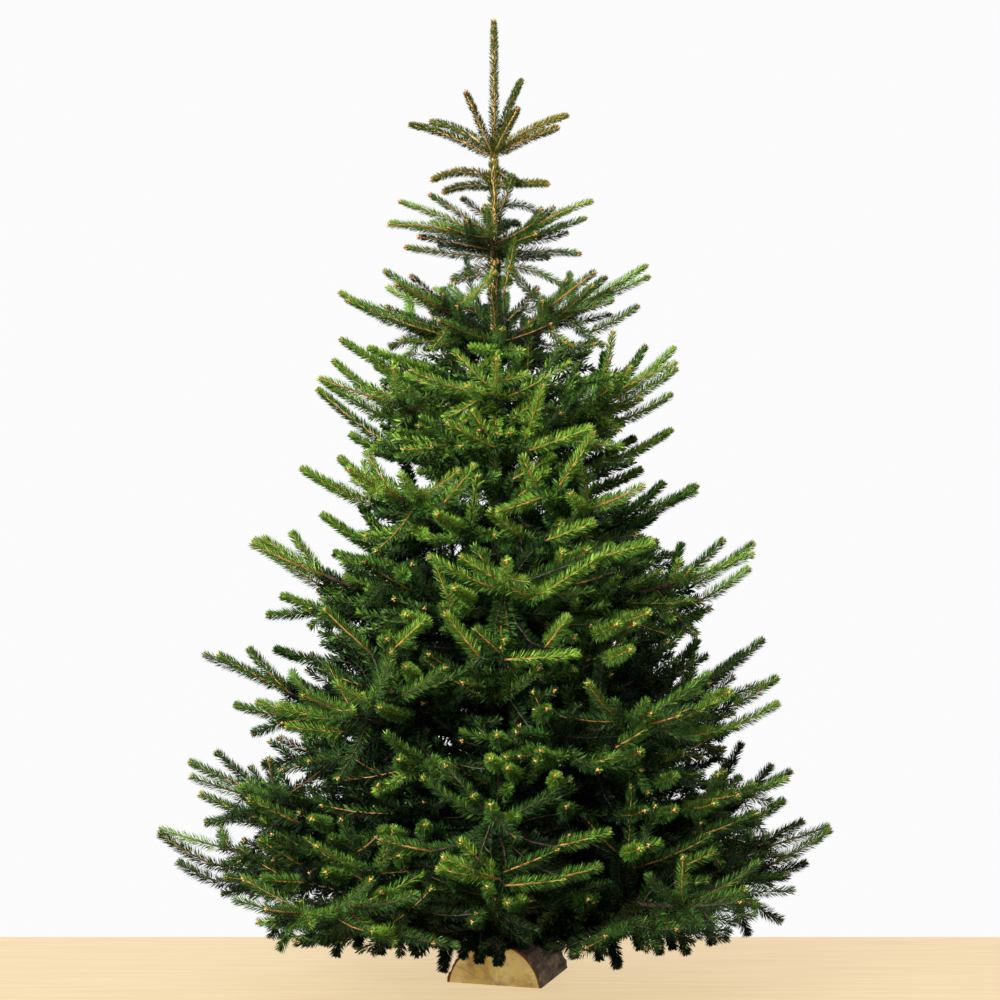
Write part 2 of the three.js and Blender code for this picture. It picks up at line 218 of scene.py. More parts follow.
# %% [markdown]
# ### Twigs and buds
# Young spruce twigs are orange-tan with fine grooves between the needle pegs, older ones turn
# brown, and the buds are shiny orange-brown scales. A dark copy of the young twig is painted
# shade, for young twigs inside the crown. Each is mottled by noise, small in scale.

# %% Twig and bud finishes
FINER, FINER_DETAIL, MOTTLED_STRENGTH = 4, 3, 0.6  # the bump's grain is finer than the blotches


def mottled_finish(name, dark, light, scale, roughness, bump):
    """A finish that wanders between two colours, with a bump of the same grain."""
    material, shader = new_finish(name, light, roughness)
    vector = place_on(material)
    blotches = noise_on(material, vector, scale)
    join(material, ramp(material, blotches, [(0.3, dark), (0.7, light)]), shader.inputs["Base Color"])
    grain = noise_on(material, vector, scale * FINER, FINER_DETAIL)
    bumped(material, shader, grain, MOTTLED_STRENGTH, bump)
    return material


young_twig = mottled_finish("twig_young", (0.22, 0.086, 0.016), (0.46, 0.200, 0.040), 160, 0.7, 0.0006)
# painted shade: the young twig, darkened, for twigs inside the crown
painted_shade_twig = mottled_finish("twig_painted_shade", (0.030, 0.018, 0.008), (0.090, 0.050, 0.018), 160, 0.8, 0.0006)
old_twig = mottled_finish("twig_old", (0.022, 0.012, 0.007), (0.065, 0.032, 0.016), 90, 0.8, 0.0010)
top_twig = mottled_finish("twig_top", (0.32, 0.165, 0.035), (0.64, 0.380, 0.100), 120, 0.7, 0.0006)
bud_brown = mottled_finish("bud_brown", (0.24, 0.090, 0.022), (0.50, 0.230, 0.060), 300, 0.5, 0.0005)
bud_gold = mottled_finish("bud_gold", (0.32, 0.150, 0.032), (0.60, 0.340, 0.080), 300, 0.5, 0.0005)
print("twig finishes ready")

# %% [markdown]
# ### Bark
# The bark of a young spruce is thin and flaky. Low down it is grey-brown. Towards the top it
# turns the orange-tan of the leader, so the ramp follows the height. Streaks come from noise that
# is stretched up the trunk. The log's bark is older: dark grey-brown with a purplish cast.

# %% Bark finishes
STREAK_STRETCH, STREAK_SCALE = (1, 1, 0.22), 150
FLAKE_STRETCH, FLAKE_SCALE, FLAKE_STRENGTH, FLAKE_DEPTH = (1, 1, 0.6), 420, 0.7, 0.0012


def bark_finish(name, low, high, from_height, to_height):
    """Flaky bark that turns from one pair of colours to another with the height."""
    material, shader = new_finish(name, low[1], 0.85, 0.3)
    streaks = noise_on(material, place_on(material, scale=STREAK_STRETCH), STREAK_SCALE, 5)
    flakes = noise_on(material, place_on(material, scale=FLAKE_STRETCH), FLAKE_SCALE, 4)
    height = add_node(material, "ShaderNodeSeparateXYZ")
    join(material, place_on(material), height.inputs["Vector"])
    rise = add_node(material, "ShaderNodeMapRange")
    rise.inputs["From Min"].default_value = from_height
    rise.inputs["From Max"].default_value = to_height
    join(material, height.outputs["Z"], rise.inputs["Value"])
    old = ramp(material, streaks, [(0.3, low[0]), (0.7, low[1])])
    young = ramp(material, streaks, [(0.3, high[0]), (0.7, high[1])])
    colour = mixed(material, rise.outputs["Result"], old, young)
    join(material, colour, shader.inputs["Base Color"])
    bumped(material, shader, flakes, FLAKE_STRENGTH, FLAKE_DEPTH)
    return material


trunk_bark = bark_finish(
    "trunk_bark",
    ((0.030, 0.018, 0.012), (0.110, 0.068, 0.045)),
    ((0.300, 0.145, 0.040), (0.780, 0.500, 0.180)),
    0.75,
    1.30,
)
bough_bark = bark_finish(
    "bough_bark",
    ((0.018, 0.011, 0.008), (0.070, 0.042, 0.027)),
    ((0.060, 0.030, 0.014), (0.160, 0.080, 0.034)),
    0.70,
    1.25,
)
print("bark finishes ready")

# %% [markdown]
# ## Limbs
# Every limb, from trunk to twig, is one bent line: a start, a straight sweep and a bow that grows
# with the square of the share along it. That is enough for a sagging bough and for a tip that
# curls up, and a stretch of such a line is again such a line. The same small rule scatters
# everything: it gives the same number for the same seed, so the tree grows alike every time.

# %% Scatter and limbs
UP = np.array((0.0, 0.0, 1.0))
RIGHT = np.array((1.0, 0.0, 0.0))
WAVE_RATE, WAVE_START, WAVE_HEIGHT = 12.9898, 4.1414, 43758.5453  # a wave too steep to follow


def vary(seed):
    """From 0 to 1, the same for the same seed."""
    wave = math.sin(seed * WAVE_RATE + WAVE_START) * WAVE_HEIGHT
    return wave - math.floor(wave)


def sway(seed):
    """From -1 to 1."""
    return 2 * vary(seed) - 1


def lerp(first, last, share):
    return first + (last - first) * share


def unit(vector):
    return vector / np.linalg.norm(vector, axis=-1, keepdims=True)


class Limb:
    """A centre line: start + sweep * share + bow * share squared."""

    def __init__(self, start, sweep, bow):
        self.start = np.array(start, float)
        self.sweep = np.array(sweep, float)
        self.bow = np.array(bow, float)

    def point(self, share):
        return self.start + self.sweep * share + self.bow * share**2

    def heading(self, share):
        return unit(self.sweep + self.bow * (2 * share))

    def size(self):
        return float(np.linalg.norm(self.point(1) - self.start))

    def part(self, first, last):
        """The stretch from one share to another."""
        span = last - first
        return Limb(self.point(first), (self.sweep + self.bow * (2 * first)) * span, self.bow * span**2)


def limb_towards(start, heading, length, curl, aside=0.0):
    """A limb that curls up, and aside, by these shares of its length."""
    side = np.cross(heading, UP)
    return Limb(start, heading * length, (UP * curl + side * aside) * length)


def frame_of(along, reference=UP):
    """The two directions across a heading: to its side, and over it."""
    side = unit(np.cross(along, reference))
    return side, np.cross(side, along)


print("a limb's line is ready")

# %% [markdown]
# ## The trunk and the boughs
# The trunk leans a little and tapers from 40 mm at the butt to 9 mm at the fork. Five boughs
# leave it at every whorl. Their numbers are those of the solids, so each one lies inside the mass
# that it carries.

# %% The trunk's line
SOCKET_FLOOR, FORK_HEIGHT, TREE_HEIGHT = 20 * MM, 1497 * MM, 1750 * MM
BUTT_RADIUS, FORK_RADIUS = 20 * MM, 4.6 * MM
FLARE_RADIUS, FLARE_FADE = 4 * MM, 60 * MM
TRUNK_LEAN = 26 * MM
TRUNK_RISE = FORK_HEIGHT - SOCKET_FLOOR

trunk_line = Limb((0, 0, SOCKET_FLOOR), (-2 * TRUNK_LEAN, 0, TRUNK_RISE), (TRUNK_LEAN, 0, 0))


def trunk_point(height):
    return trunk_line.point((height - SOCKET_FLOOR) / TRUNK_RISE)


def trunk_radius(height):
    flare = FLARE_RADIUS * math.exp(-(height - SOCKET_FLOOR) / FLARE_FADE)
    return lerp(BUTT_RADIUS, FORK_RADIUS, (height - SOCKET_FLOOR) / TRUNK_RISE) + flare


print("trunk radius at the foot, in mm:", round(trunk_radius(SOCKET_FLOOR) / MM, 1))

# %% The whorls, from the top down
# For each: height on the trunk, reach and tip height to the right and to the left, sag at the
# middle of a bough, longest twig over or under it, and how steeply its twigs point down.
TIERS = {
    2: dict(height=1325, reach=(185, 191), tip=(1403, 1378), sag=-12, depth=80, droop=0.14),
    3: dict(height=1152, reach=(294, 301), tip=(1275, 1252), sag=-6, depth=105, droop=0.10),
    4: dict(height=985, reach=(331, 332), tip=(1123, 1100), sag=4, depth=125, droop=0.06),
    5: dict(height=820, reach=(392, 386), tip=(891, 931), sag=12, depth=130, droop=0.04),
    6: dict(height=650, reach=(474, 460), tip=(793, 804), sag=22, depth=160, droop=0.08),
    7: dict(height=482, reach=(545, 572), tip=(520, 566), sag=30, depth=170, droop=0.14),
    8: dict(height=325, reach=(530, 592), tip=(393, 406), sag=40, depth=170, droop=0.22),
    9: dict(height=200, reach=(640, 698), tip=(239, 226), sag=34, depth=185, droop=0.34),
}
BOUGHS_PER_TIER = 5
FIRST_BOUGH = (270, 90)  # its direction in degrees, in the even whorls and in the odd ones
YEAR = 136 * MM  # one year's growth of a bough
BARE_FROM, BARE_SHARE = 7, 0.17  # the first whorl with boughs that are bare next to the trunk
HEIGHT_SCATTER, TIP_SCATTER = 16, 12
AZIMUTH_SCATTER, REACH_SCATTER = 5, 0.02
EIGHTH = 45  # degrees
# the names of the eight directions, against the clock from the right
DIRECTIONS = ["right", "back_right", "back", "back_left", "left", "front_left", "front", "front_right"]


def bough_line(number, index):
    """One bough of a whorl, with its name, its seed and the share that a year takes of it."""
    tier = TIERS[number]
    seed = number * 10 + index
    azimuth = FIRST_BOUGH[number % 2] + 360 / BOUGHS_PER_TIER * index
    direction = DIRECTIONS[math.floor((azimuth % 360) / EIGHTH + 0.5) % 8]
    angle = math.radians(azimuth + AZIMUTH_SCATTER * sway(seed))
    to_right = (1 + math.cos(angle)) / 2
    reach = lerp(tier["reach"][1], tier["reach"][0], to_right) * (1 + REACH_SCATTER * sway(seed + 0.3))
    tip = lerp(tier["tip"][1], tier["tip"][0], to_right) + TIP_SCATTER * sway(seed + 0.6)
    start = trunk_point((tier["height"] + HEIGHT_SCATTER * sway(seed + 0.9)) * MM)
    bow = 4 * tier["sag"] * MM  # that gives the sag at the middle
    sweep = (reach * math.cos(angle) * MM, reach * math.sin(angle) * MM, tip * MM - start[2] - bow)
    line = Limb(start, sweep, UP * bow)
    return dict(
        mass=f"tier_{number}_{direction}",
        number=number,
        seed=seed,
        line=line,
        bare=0 if number < BARE_FROM else BARE_SHARE,
        year=YEAR / line.size(),
        tier=tier,
    )


boughs = [bough_line(number, index) for number in TIERS for index in range(BOUGHS_PER_TIER)]
missing = [b["mass"] for b in boughs if f"{b['mass']}_foliage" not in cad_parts]
print("boughs:", len(boughs), "without a mass in the model:", missing)

# %% [markdown]
# ## Twigs
# A spruce makes one whorl of buds a year at the end of each shoot, and next year's side shoots
# come from it. So a twig is a chain of years, with a fan of side twigs where one year ends and
# the next starts, and a few short ones between. Each side twig grows by the same rule with one
# order more, until a twig is only one year long. That is what `grow` does, from the tip inwards.
#
# The crown has limits too: how far it reaches at each height and on each side, and how low its
# twigs hang. They come first, because every twig is fitted into them.

# %% The crown's limits
CROWN_PROFILE = [  # height over the floor, and how far the crown reaches there
    (0.02, 0.50), (0.23, 0.68), (0.40, 0.57), (0.54, 0.57), (0.80, 0.48),
    (0.91, 0.40), (1.11, 0.34), (1.26, 0.31), (1.39, 0.20), (1.50, 0.16), (1.75, 0.12),
]  # fmt: skip
CROWN_FOOT = [  # distance from the trunk, and how low twigs hang there
    (0.10, 0.056), (0.30, 0.060), (0.40, 0.074), (0.46, 0.096), (0.55, 0.145), (0.70, 0.185),
]  # fmt: skip
SIDE_REACH = [  # height, and how far twigs reach to the left and to the right there, in mm
    (70, 390, 350), (110, 430, 430), (150, 520, 480), (200, 560, 520), (250, 560, 490),
    (290, 490, 460), (330, 520, 480), (370, 480, 450), (410, 400, 395), (450, 430, 420),
    (500, 440, 480), (560, 400, 390), (610, 340, 345), (660, 370, 360), (700, 400, 390),
    (750, 280, 330), (790, 300, 290), (830, 260, 260), (870, 240, 230), (900, 270, 205),
    (940, 290, 240), (980, 235, 200), (1020, 250, 220), (1070, 270, 260), (1110, 230, 225),
    (1150, 190, 175), (1200, 225, 225), (1250, 235, 200), (1310, 110, 110), (1500, 130, 130),
]  # fmt: skip
FRONT_LIFT = 42 * MM  # they hang that much higher towards the front
LOG_SIDE, LOG_CLEAR, SIGHT_SLOPE = 98 * MM, 84 * MM, 0.14  # twigs keep the log's face in sight


def from_trunk(place):
    """How far a place lies from the trunk, on the level."""
    return float(np.linalg.norm((place - trunk_point(min(place[2], FORK_HEIGHT)))[:2]))


def outness(place):
    """0 at the trunk, 1 at the crown's surface."""
    return from_trunk(place) / float(np.interp(place[2], *zip(*CROWN_PROFILE)))


def over_log(place):
    """The height that a twig keeps over the log and in front of its face."""
    return LOG_CLEAR + SIGHT_SLOPE * max(0, -place[1] - LOG_SIDE)


def lowest_at(place):
    """How low a twig may hang there."""
    away = from_trunk(place)
    lowest = float(np.interp(away, *zip(*CROWN_FOOT))) + FRONT_LIFT * max(0.0, min(1.0, -place[1] / away))
    return max(lowest, over_log(place)) if abs(place[0]) < LOG_SIDE else lowest


def side_reach(place):
    """How far the crown reaches across, at that height and on that side."""
    heights, left, right = zip(*SIDE_REACH)
    return float(np.interp(place[2] / MM, heights, left if place[0] < 0 else right)) * MM


print("limits at", len(CROWN_PROFILE), "and", len(SIDE_REACH), "heights")

# %% Fit a twig into the crown
TRIES, SHORTER = 4, 0.8  # how often a twig is shortened, and to what share each time
SHORTEST_TWIG = 26 * MM
LOG_LEEWAY = 4 * MM


def fits_in(place, reach):
    return from_trunk(place) < reach and abs(place[0]) < side_reach(place)


def fitted(line, reach):
    """Lifts a twig that would hang too low, and shortens one that would grow out of the crown."""
    low = lowest_at(line.point(1)) - line.point(1)[2]
    if low > 0:
        line = Limb(line.start, line.sweep + UP * low, line.bow)
    for _ in range(TRIES):
        if fits_in(line.point(1), reach):
            break
        line = Limb(line.start, line.sweep * SHORTER, line.bow * SHORTER)
    return line


def has_room(line, reach):
    """Keeps twigs off the log and its face, and inside their bough's reach."""
    for place in (line.point(0.4), line.point(0.7)):
        if abs(place[0]) < LOG_SIDE and place[2] < over_log(place) - LOG_LEEWAY:
            return False
    return line.size() > SHORTEST_TWIG and fits_in(line.point(1), reach)


print("a twig ends within its bough's reach")

# %% [markdown]
# ### Stretches
# The shoots are kept as a list of stretches for each mass. A stretch carries its line, the radii
# at its two ends, its age in years, its order and its seed, and its shade: how many tones of
# painted shade its needles get, or of painted light below 0, which also decides whether its twig
# gets the painted-shade colour. Meshes are made of them afterwards. What is added to a seed, or
# multiplies it, only keeps one choice apart from the next.

# %% A stretch, and a side twig
TWIG_ASIDE = 0.10  # a side twig bends aside by that share of its length, at most
shoots = {}  # the stretches of each mass


def add_stretch(mass, line, radii, age, order, seed, shade=0.0, needles=True, bud=False, full=0.0):
    """Adds a stretch; full is over 0 for a shoot that is seen by itself, with that many needles."""
    stretch = dict(line=line, radii=radii, age=age, order=order, seed=seed)
    stretch.update(shade=shade, needles=needles, bud=bud, full=full)
    shoots.setdefault(mass, []).append(stretch)


def fan_twig(line, share, turn, angle, length, seed, droop, curl):
    """A side twig: turn is round the parent from its right over its top."""
    along = line.heading(share)
    side, over = frame_of(along)
    turn, angle = math.radians(turn), math.radians(angle)
    across = side * math.cos(turn) + over * math.sin(turn)
    heading = unit(along * math.cos(angle) + across * math.sin(angle) - UP * droop)
    return limb_towards(line.point(share), heading, length, curl, TWIG_ASIDE * sway(seed + 0.85))


print("a stretch's rule is ready")

# %% The fans of a twig
FAN_ANGLE, FAN_LEAST, FAN_SHARE = 48, 84 * MM, 0.46
FAN_TURN_SCATTER, FAN_ANGLE_SCATTER, FAN_LENGTH_SCATTER, FAN_STAGGER = 20, 8, 0.16, 0.03
THIRD_CHANCE, THIRD_OVER, THIRD_SHARE = 0.45, 0.7, 0.75  # a third twig, mostly on top, is shorter


def fan_at(line, share, back, seed, droop, curl):
    """The two or three side twigs where one year ends and the next starts, with their seeds."""
    turns = [0, 180]
    if vary(seed + back * 0.7) < THIRD_CHANCE:
        turns.append(90 if vary(seed + back) < THIRD_OVER else -90)
    for place, turn in enumerate(turns):
        key = seed + back * 1.37 + place * 0.61
        length = FAN_LEAST + FAN_SHARE * (1 - share) * line.size()
        length *= 1 + FAN_LENGTH_SCATTER * sway(key + 0.2)
        if place == 2:
            length *= THIRD_SHARE
        turn += FAN_TURN_SCATTER * sway(key)
        angle = FAN_ANGLE + FAN_ANGLE_SCATTER * sway(key + 0.4)
        yield key, fan_twig(line, share - FAN_STAGGER * place, turn, angle, length, key, droop, curl)


print("side twigs leave at", FAN_ANGLE, "degrees")

# %% Grow a twig
TWIG_YEAR, ONE_YEAR_FROM = 130 * MM, 0.8  # a year's growth; from that share it is the whole twig
TWIG_TIP, TWIG_ROOTS, THICKEST_AT = 0.8 * MM, (1.1 * MM, 1.9 * MM), 400 * MM  # radii, and a length
MOST_ORDERS, FINE_SHORT = 3, 22 * MM  # fine twigs end that much short of the bough's reach
MOST_FANS, FIRST_FAN = 3, 22 * MM
BETWEEN_CHANCE, BETWEEN_SCATTER, BETWEEN_ANGLE, BETWEEN_LENGTH = 0.12, 35, 54, (50, 80)
reach_of = {b["mass"]: math.hypot(*b["line"].sweep[:2]) for b in boughs}


def grow(mass, line, order, seed, droop, curl, shade=0.0):
    """A twig with all that grows on it, a year at a time."""
    reach = reach_of.get(mass, 1.0) - (0 if order < 2 else FINE_SHORT)
    line = fitted(line, reach)
    if not has_room(line, reach):
        return
    size = line.size()
    year = TWIG_YEAR / size
    tip, root = TWIG_TIP, lerp(*TWIG_ROOTS, min(1, size / THICKEST_AT))
    if year > ONE_YEAR_FROM:
        add_stretch(mass, line, (root, tip), 0, order, seed, shade, bud=True)
    else:
        middle = lerp(tip, root, year)
        add_stretch(mass, line.part(1 - year, 1), (middle, tip), 0, order, seed, shade, bud=True)
        add_stretch(mass, line.part(0, 1 - year), (root, middle), 1, order, seed + 0.11, shade)
    if order >= MOST_ORDERS:
        return
    for back in range(1, MOST_FANS + 1):
        share = 1 - back * year
        if share * size < FIRST_FAN:
            break
        for key, twig in fan_at(line, share, back, seed, droop, curl):
            grow(mass, twig, order + 1, key, droop, curl, shade)
        if vary(seed + back * 2.3) < BETWEEN_CHANCE:
            key = seed + back * 3.1
            turn = 180 * round(vary(key)) + BETWEEN_SCATTER * sway(key + 0.3)
            length = lerp(*BETWEEN_LENGTH, vary(key + 0.5)) * MM
            twig = fan_twig(line, share + 0.5 * year, turn, BETWEEN_ANGLE, length, key, droop, curl)
            grow(mass, twig, MOST_ORDERS, key, droop, curl, shade)


print("a twig has up to", MOST_ORDERS, "orders")

# %% [markdown]
# ### From a bough to its twigs
# A bough carries three strong twigs a year, to its sides and over or under it, where the solids
# have them. Short twigs along it hide its wood, and the lowest whorls also let twigs hang, which
# close the crown at its foot.

# %% The strong twigs of a bough
TWIG_ANGLE, TWIG_CURL, TWIG_SHARE, TWIG_LEAST = 64, 0.18, 0.58, 62 * MM
TURN_SCATTER, ANGLE_SCATTER, LENGTH_SCATTER = 12, 0.12, 0.12
FLAT_TIER, FLAT_TURNS = 2, (4, 176)  # the highest whorl's twigs lie flat
UPRIGHT, OVER_SHARE = 0.8, 0.65  # twigs over a bough are shorter than those under it
BOUGH_RADIUS, LONG_BOUGH, TWIG_RADIUS = 8.5 * MM, 650 * MM, 2.2 * MM
SIZE_POWER, THIN_FROM = 0.8, 1.1  # short boughs are thinner, and one is thinnest before its tip


def bough_radius(bough, share):
    at_trunk = BOUGH_RADIUS * (bough["line"].size() / LONG_BOUGH) ** SIZE_POWER
    return lerp(at_trunk, TWIG_RADIUS, min(1, share * THIN_FROM))


def twig_line(bough, share, turn):
    """The line of a strong twig, and its seed."""
    line, tier = bough["line"], bough["tier"]
    seed = bough["seed"] + share * 7.7 + turn * 0.013
    if bough["number"] == FLAT_TIER:
        turn = FLAT_TURNS[0] if math.cos(math.radians(turn)) > 0 else FLAT_TURNS[1]
    round_bough = turn + TURN_SCATTER * sway(seed + 0.2)
    angle = TWIG_ANGLE * (1 + ANGLE_SCATTER * sway(seed))
    longest = math.inf
    if abs(math.sin(math.radians(round_bough))) > UPRIGHT:
        longest = tier["depth"] * (OVER_SHARE if turn == 90 and bough["number"] < BARE_FROM else 1) * MM
    length = min(longest, TWIG_LEAST + TWIG_SHARE * ((1 - share) * line.size()))
    length *= 1 + LENGTH_SCATTER * sway(seed + 0.5)
    return fan_twig(line, share, round_bough, angle, length, seed, tier["droop"], TWIG_CURL), seed


print("a bough's radius at the trunk, in mm:", round(bough_radius(boughs[-1], 0) / MM, 1))

# %% Short twigs, and hanging ones
SHORT_FROM, SHORT_STEP = 4, 60 * MM  # first whorl with short twigs, and the step between them
SHORT_TURNS, SHORT_SCATTER, SHORT_ANGLE, SHORT_LENGTH, SHORT_CURL = (-18, 198, 48), 30, 54, (80, 130), 0.12
SHORT_PART, SHORT_PART_BARE = 0.96, 0.6  # how far along a bough they go, and less on bare wood
HANGING_FROM, HANGING_STEP, HANGING_PART = 8, 47 * MM, 0.9
HANGING_TURNS, HANGING_SCATTER, HANGING_LENGTH = (50, -50, 0), 24, (100, 170)
SIDE_HANGING = dict(angle=42, share=1.0, droop=0.32, curl=0.06, order=2, later=0.12, shade=0.9)
LOW_HANGING = dict(angle=62, share=0.8, droop=0.30, curl=0.0, order=3, later=0.0, shade=1.2)


def grow_short_twigs(bough, droop):
    """Short twigs along a bough's wood, on its sides and top, that hide it."""
    line, size = bough["line"], bough["line"].size()
    steps = int(size * (SHORT_PART - bough["bare"] * SHORT_PART_BARE) / SHORT_STEP)
    for step in range(1, steps):
        key = bough["seed"] * 3.3 + step * 0.83
        share = 1 - (step + 0.5 * vary(key)) * SHORT_STEP / size
        turn = SHORT_TURNS[step % 3] + SHORT_SCATTER * sway(key + 0.4)
        length = lerp(*SHORT_LENGTH, vary(key + 0.6)) * MM
        twig = fan_twig(line, share, turn, SHORT_ANGLE, length, key, droop, SHORT_CURL)
        grow(bough["mass"], twig, MOST_ORDERS, key, droop, SHORT_CURL)


def grow_hanging_twigs(bough):
    """Twigs that hang from a bough: two to the sides, then one straight down."""
    line, size = bough["line"], bough["line"].size()
    for step in range(1, int(size * HANGING_PART / HANGING_STEP)):
        kind = LOW_HANGING if step % 3 == 2 else SIDE_HANGING
        key = bough["seed"] * 5.1 + step * 0.67
        share = 1 - (step + 0.3 * sway(key)) * HANGING_STEP / size
        turn = -90 + HANGING_TURNS[step % 3] + HANGING_SCATTER * sway(key + 0.3)
        length = kind["share"] * (lerp(*HANGING_LENGTH, vary(key + 0.7)) * MM)
        twig = fan_twig(line, share, turn, kind["angle"], length, key, kind["droop"], kind["curl"])
        grow(bough["mass"], twig, kind["order"], key, kind["later"], kind["curl"], shade=kind["shade"])


print("a short twig every", SHORT_STEP, "m, a hanging one every", HANGING_STEP, "m")

# %% Grow every bough
TWIG_TURNS = [(8, 172, -90), (-26, 206, 90)]  # round the bough, from its right over its top
LOW_TURNS = [(28, 152, -90), (-22, 202, 90)]  # the same in the three lowest whorls
TWIG_STAGGER, MOST_YEARS, NEEDLED_YEARS = 0.16, 6, 4
SIDE_DROOP, SIDE_DROOP_SHARE, SIDE_CURL = 0.06, 0.35, 0.16
FIRST_ORDER = {2: 3, 3: 3}  # young whorls have had less time to branch
BOUGH_TIP, BARE_MARGIN = 1.2 * MM, 0.03


def left_out(number, turn):
    """The young whorls have no twigs over their boughs, and the highest none under them."""
    return (number == FLAT_TIER and turn == -90) or (number in FIRST_ORDER and turn == 90)


def grow_bough(bough):
    """The bough's own shoot at the tip, its older stretches, and its twigs, three a year."""
    mass, line, year = bough["mass"], bough["line"], bough["year"]
    number, droop = bough["number"], SIDE_DROOP + SIDE_DROOP_SHARE * bough["tier"]["droop"]
    add_stretch(mass, line.part(1 - year, 1), (TWIG_RADIUS, BOUGH_TIP), 0, 0, bough["seed"], bud=True)
    years = math.ceil((1 - bough["bare"]) / year)
    for back in range(1, years):
        first = max(bough["bare"], 1 - (back + 1) * year)
        radii = (bough_radius(bough, first), bough_radius(bough, 1 - back * year))
        stretch = line.part(first, 1 - back * year)
        add_stretch(mass, stretch, radii, back, 0, bough["seed"] + back, needles=back < NEEDLED_YEARS)
    turns = LOW_TURNS if number >= BARE_FROM else TWIG_TURNS
    for back in range(1, MOST_YEARS + 1):
        for place, turn in enumerate(turns[(back + 1) % 2]):
            share = 1 - (back + place * TWIG_STAGGER) * year
            if share < bough["bare"] + BARE_MARGIN or left_out(number, turn):
                continue
            twig, seed = twig_line(bough, share, turn)
            grow(mass, twig, FIRST_ORDER.get(number, 1), seed, droop, SIDE_CURL)
    if number >= SHORT_FROM:
        grow_short_twigs(bough, droop)
    if number >= HANGING_FROM:
        grow_hanging_twigs(bough)


for bough in boughs:
    grow_bough(bough)
counted = sum(len(s) for s in shoots.values())
metres = sum(s["line"].size() for group in shoots.values() for s in group)
print("stretches:", counted, "together", round(metres), "m")

# %% [markdown]
# ### Twigs straight from the trunk
# Between the whorls a spruce also puts out small twigs from the trunk itself. Near the top they
# show one by one, so each has its own line in a table. Lower down they fill the shade, so a
# seeded loop spreads them round the trunk.

# %% Small twigs on the trunk
TRUNK_TWIGS = [  # height, direction round the trunk, rise, length in mm, upward curl, mass
    (1462, 176, 24, 122, -0.42, "upper_shoot_left"),
    (1446, 205, 10, 100, -0.30, "upper_shoot_left"),
    (1450, -8, 6, 98, -0.10, "upper_shoot_right"),
    (1478, 345, -34, 62, 0.10, "upper_shoot_right"),
    (1452, 100, 30, 92, -0.30, "upper_shoot_right"),
    (1404, 20, 30, 104, -0.55, "tier_2_right"),
    (1376, 160, 44, 84, -0.10, "tier_2_left"),
    (1368, 60, 22, 96, -0.20, "tier_2_back_right"),
    (1352, 182, 24, 186, -0.05, "tier_2_left"),
    (1356, 196, 33, 142, -0.04, "tier_2_left"),
    (1341, 176, 14, 194, -0.03, "tier_2_left"),
    (1318, 187, 3, 160, 0.05, "tier_2_left"),
    (1330, 206, 10, 150, -0.04, "tier_2_left"),
    (1332, -4, 30, 160, -0.05, "tier_2_right"),
    (1325, 6, 23, 180, -0.03, "tier_2_right"),
    (1326, -14, 4, 158, -0.10, "tier_2_right"),
    (1330, 305, 12, 130, -0.04, "tier_2_right"),
    (1318, 48, 4, 150, -0.02, "tier_2_back_right"),
    (1330, 130, 8, 160, -0.02, "tier_2_back_right"),
    (1300, -18, 6, 126, -0.36, "tier_2_right"),
    (1300, 184, 6, 76, -0.40, "tier_2_left"),
    (1282, 205, 10, 78, -0.30, "tier_2_left"),
    (1262, 75, 20, 120, -0.20, "tier_2_back_right"),
    (1186, -75, 80, 120, 0.02, "tier_2_right"),
]
LONG_TWIGS = [  # height on the trunk, and the tip's direction, distance and height, in mm
    (1000, 10, 322, 1061),
    (955, -12, 328, 999),
    (1020, 170, 330, 1076),
    (945, 188, 300, 985),
    (660, 12, 462, 743),
    (545, -10, 486, 620),
    (600, 186, 436, 655),
    (575, 168, 420, 612),
    (440, 172, 500, 490),
    (430, -6, 505, 497),
    (190, 270, 500, 236),
    (186, 342, 520, 214),
    (194, 54, 500, 240),
    (188, 126, 500, 232),
    (192, 198, 520, 210),
]
TRUNK_TWIG_RADIUS, TRUNK_TWIG_FULL = 1.8 * MM, 1.5
LONG_BOW, LONG_DROOP, LOWEST_WHORL = 0.14, 0.10, 9


def pointing(azimuth, rise):
    """A direction from its angles round the trunk and over the level, in degrees."""
    turn, lift = math.radians(azimuth), math.radians(rise)
    return np.array((math.cos(turn) * math.cos(lift), math.sin(turn) * math.cos(lift), math.sin(lift)))


for row, (height, azimuth, rise, length, curl, mass) in enumerate(TRUNK_TWIGS):
    twig = limb_towards(trunk_point(height * MM), pointing(azimuth, rise), length * MM, curl)
    radii = (TRUNK_TWIG_RADIUS, TWIG_TIP)
    add_stretch(mass, twig, radii, 0, MOST_ORDERS, 300 + row, bud=True, full=TRUNK_TWIG_FULL)

for row, (height, azimuth, reach, tip) in enumerate(LONG_TWIGS):
    turn = math.radians(azimuth)
    root = trunk_point(height * MM)
    rise = np.array((reach * math.cos(turn), reach * math.sin(turn), tip - height)) * MM
    bow = UP * (LONG_BOW * reach * MM)
    whorl_height = TIERS[LOWEST_WHORL]["height"]
    near = [b for b in boughs if b["number"] == LOWEST_WHORL] if height < whorl_height else boughs
    mass = min(near, key=lambda b: np.linalg.norm(b["line"].point(1) - root - rise))["mass"]
    grow(mass, Limb(root, rise - bow, bow), 1, 400 + row, LONG_DROOP, SIDE_CURL)
print("twigs placed on the trunk:", len(TRUNK_TWIGS + LONG_TWIGS))

# %% Twigs that fill the shade
INNER_TWIGS, INNER_HEIGHTS, INNER_RISE, INNER_SHARE = 130, (150, 1190), (-4, 30), (0.40, 0.80)
FOOT_TWIGS, FOOT_HEIGHTS, FOOT_REACH, FOOT_RISE = 44, (106, 240), (150, 360), 0.10
GOLDEN_TURN, TURN_SLACK = 137.5, 20  # degrees from one twig to the next
FOLIAGE_RISE = 60  # a whorl's foliage lies that many mm over it
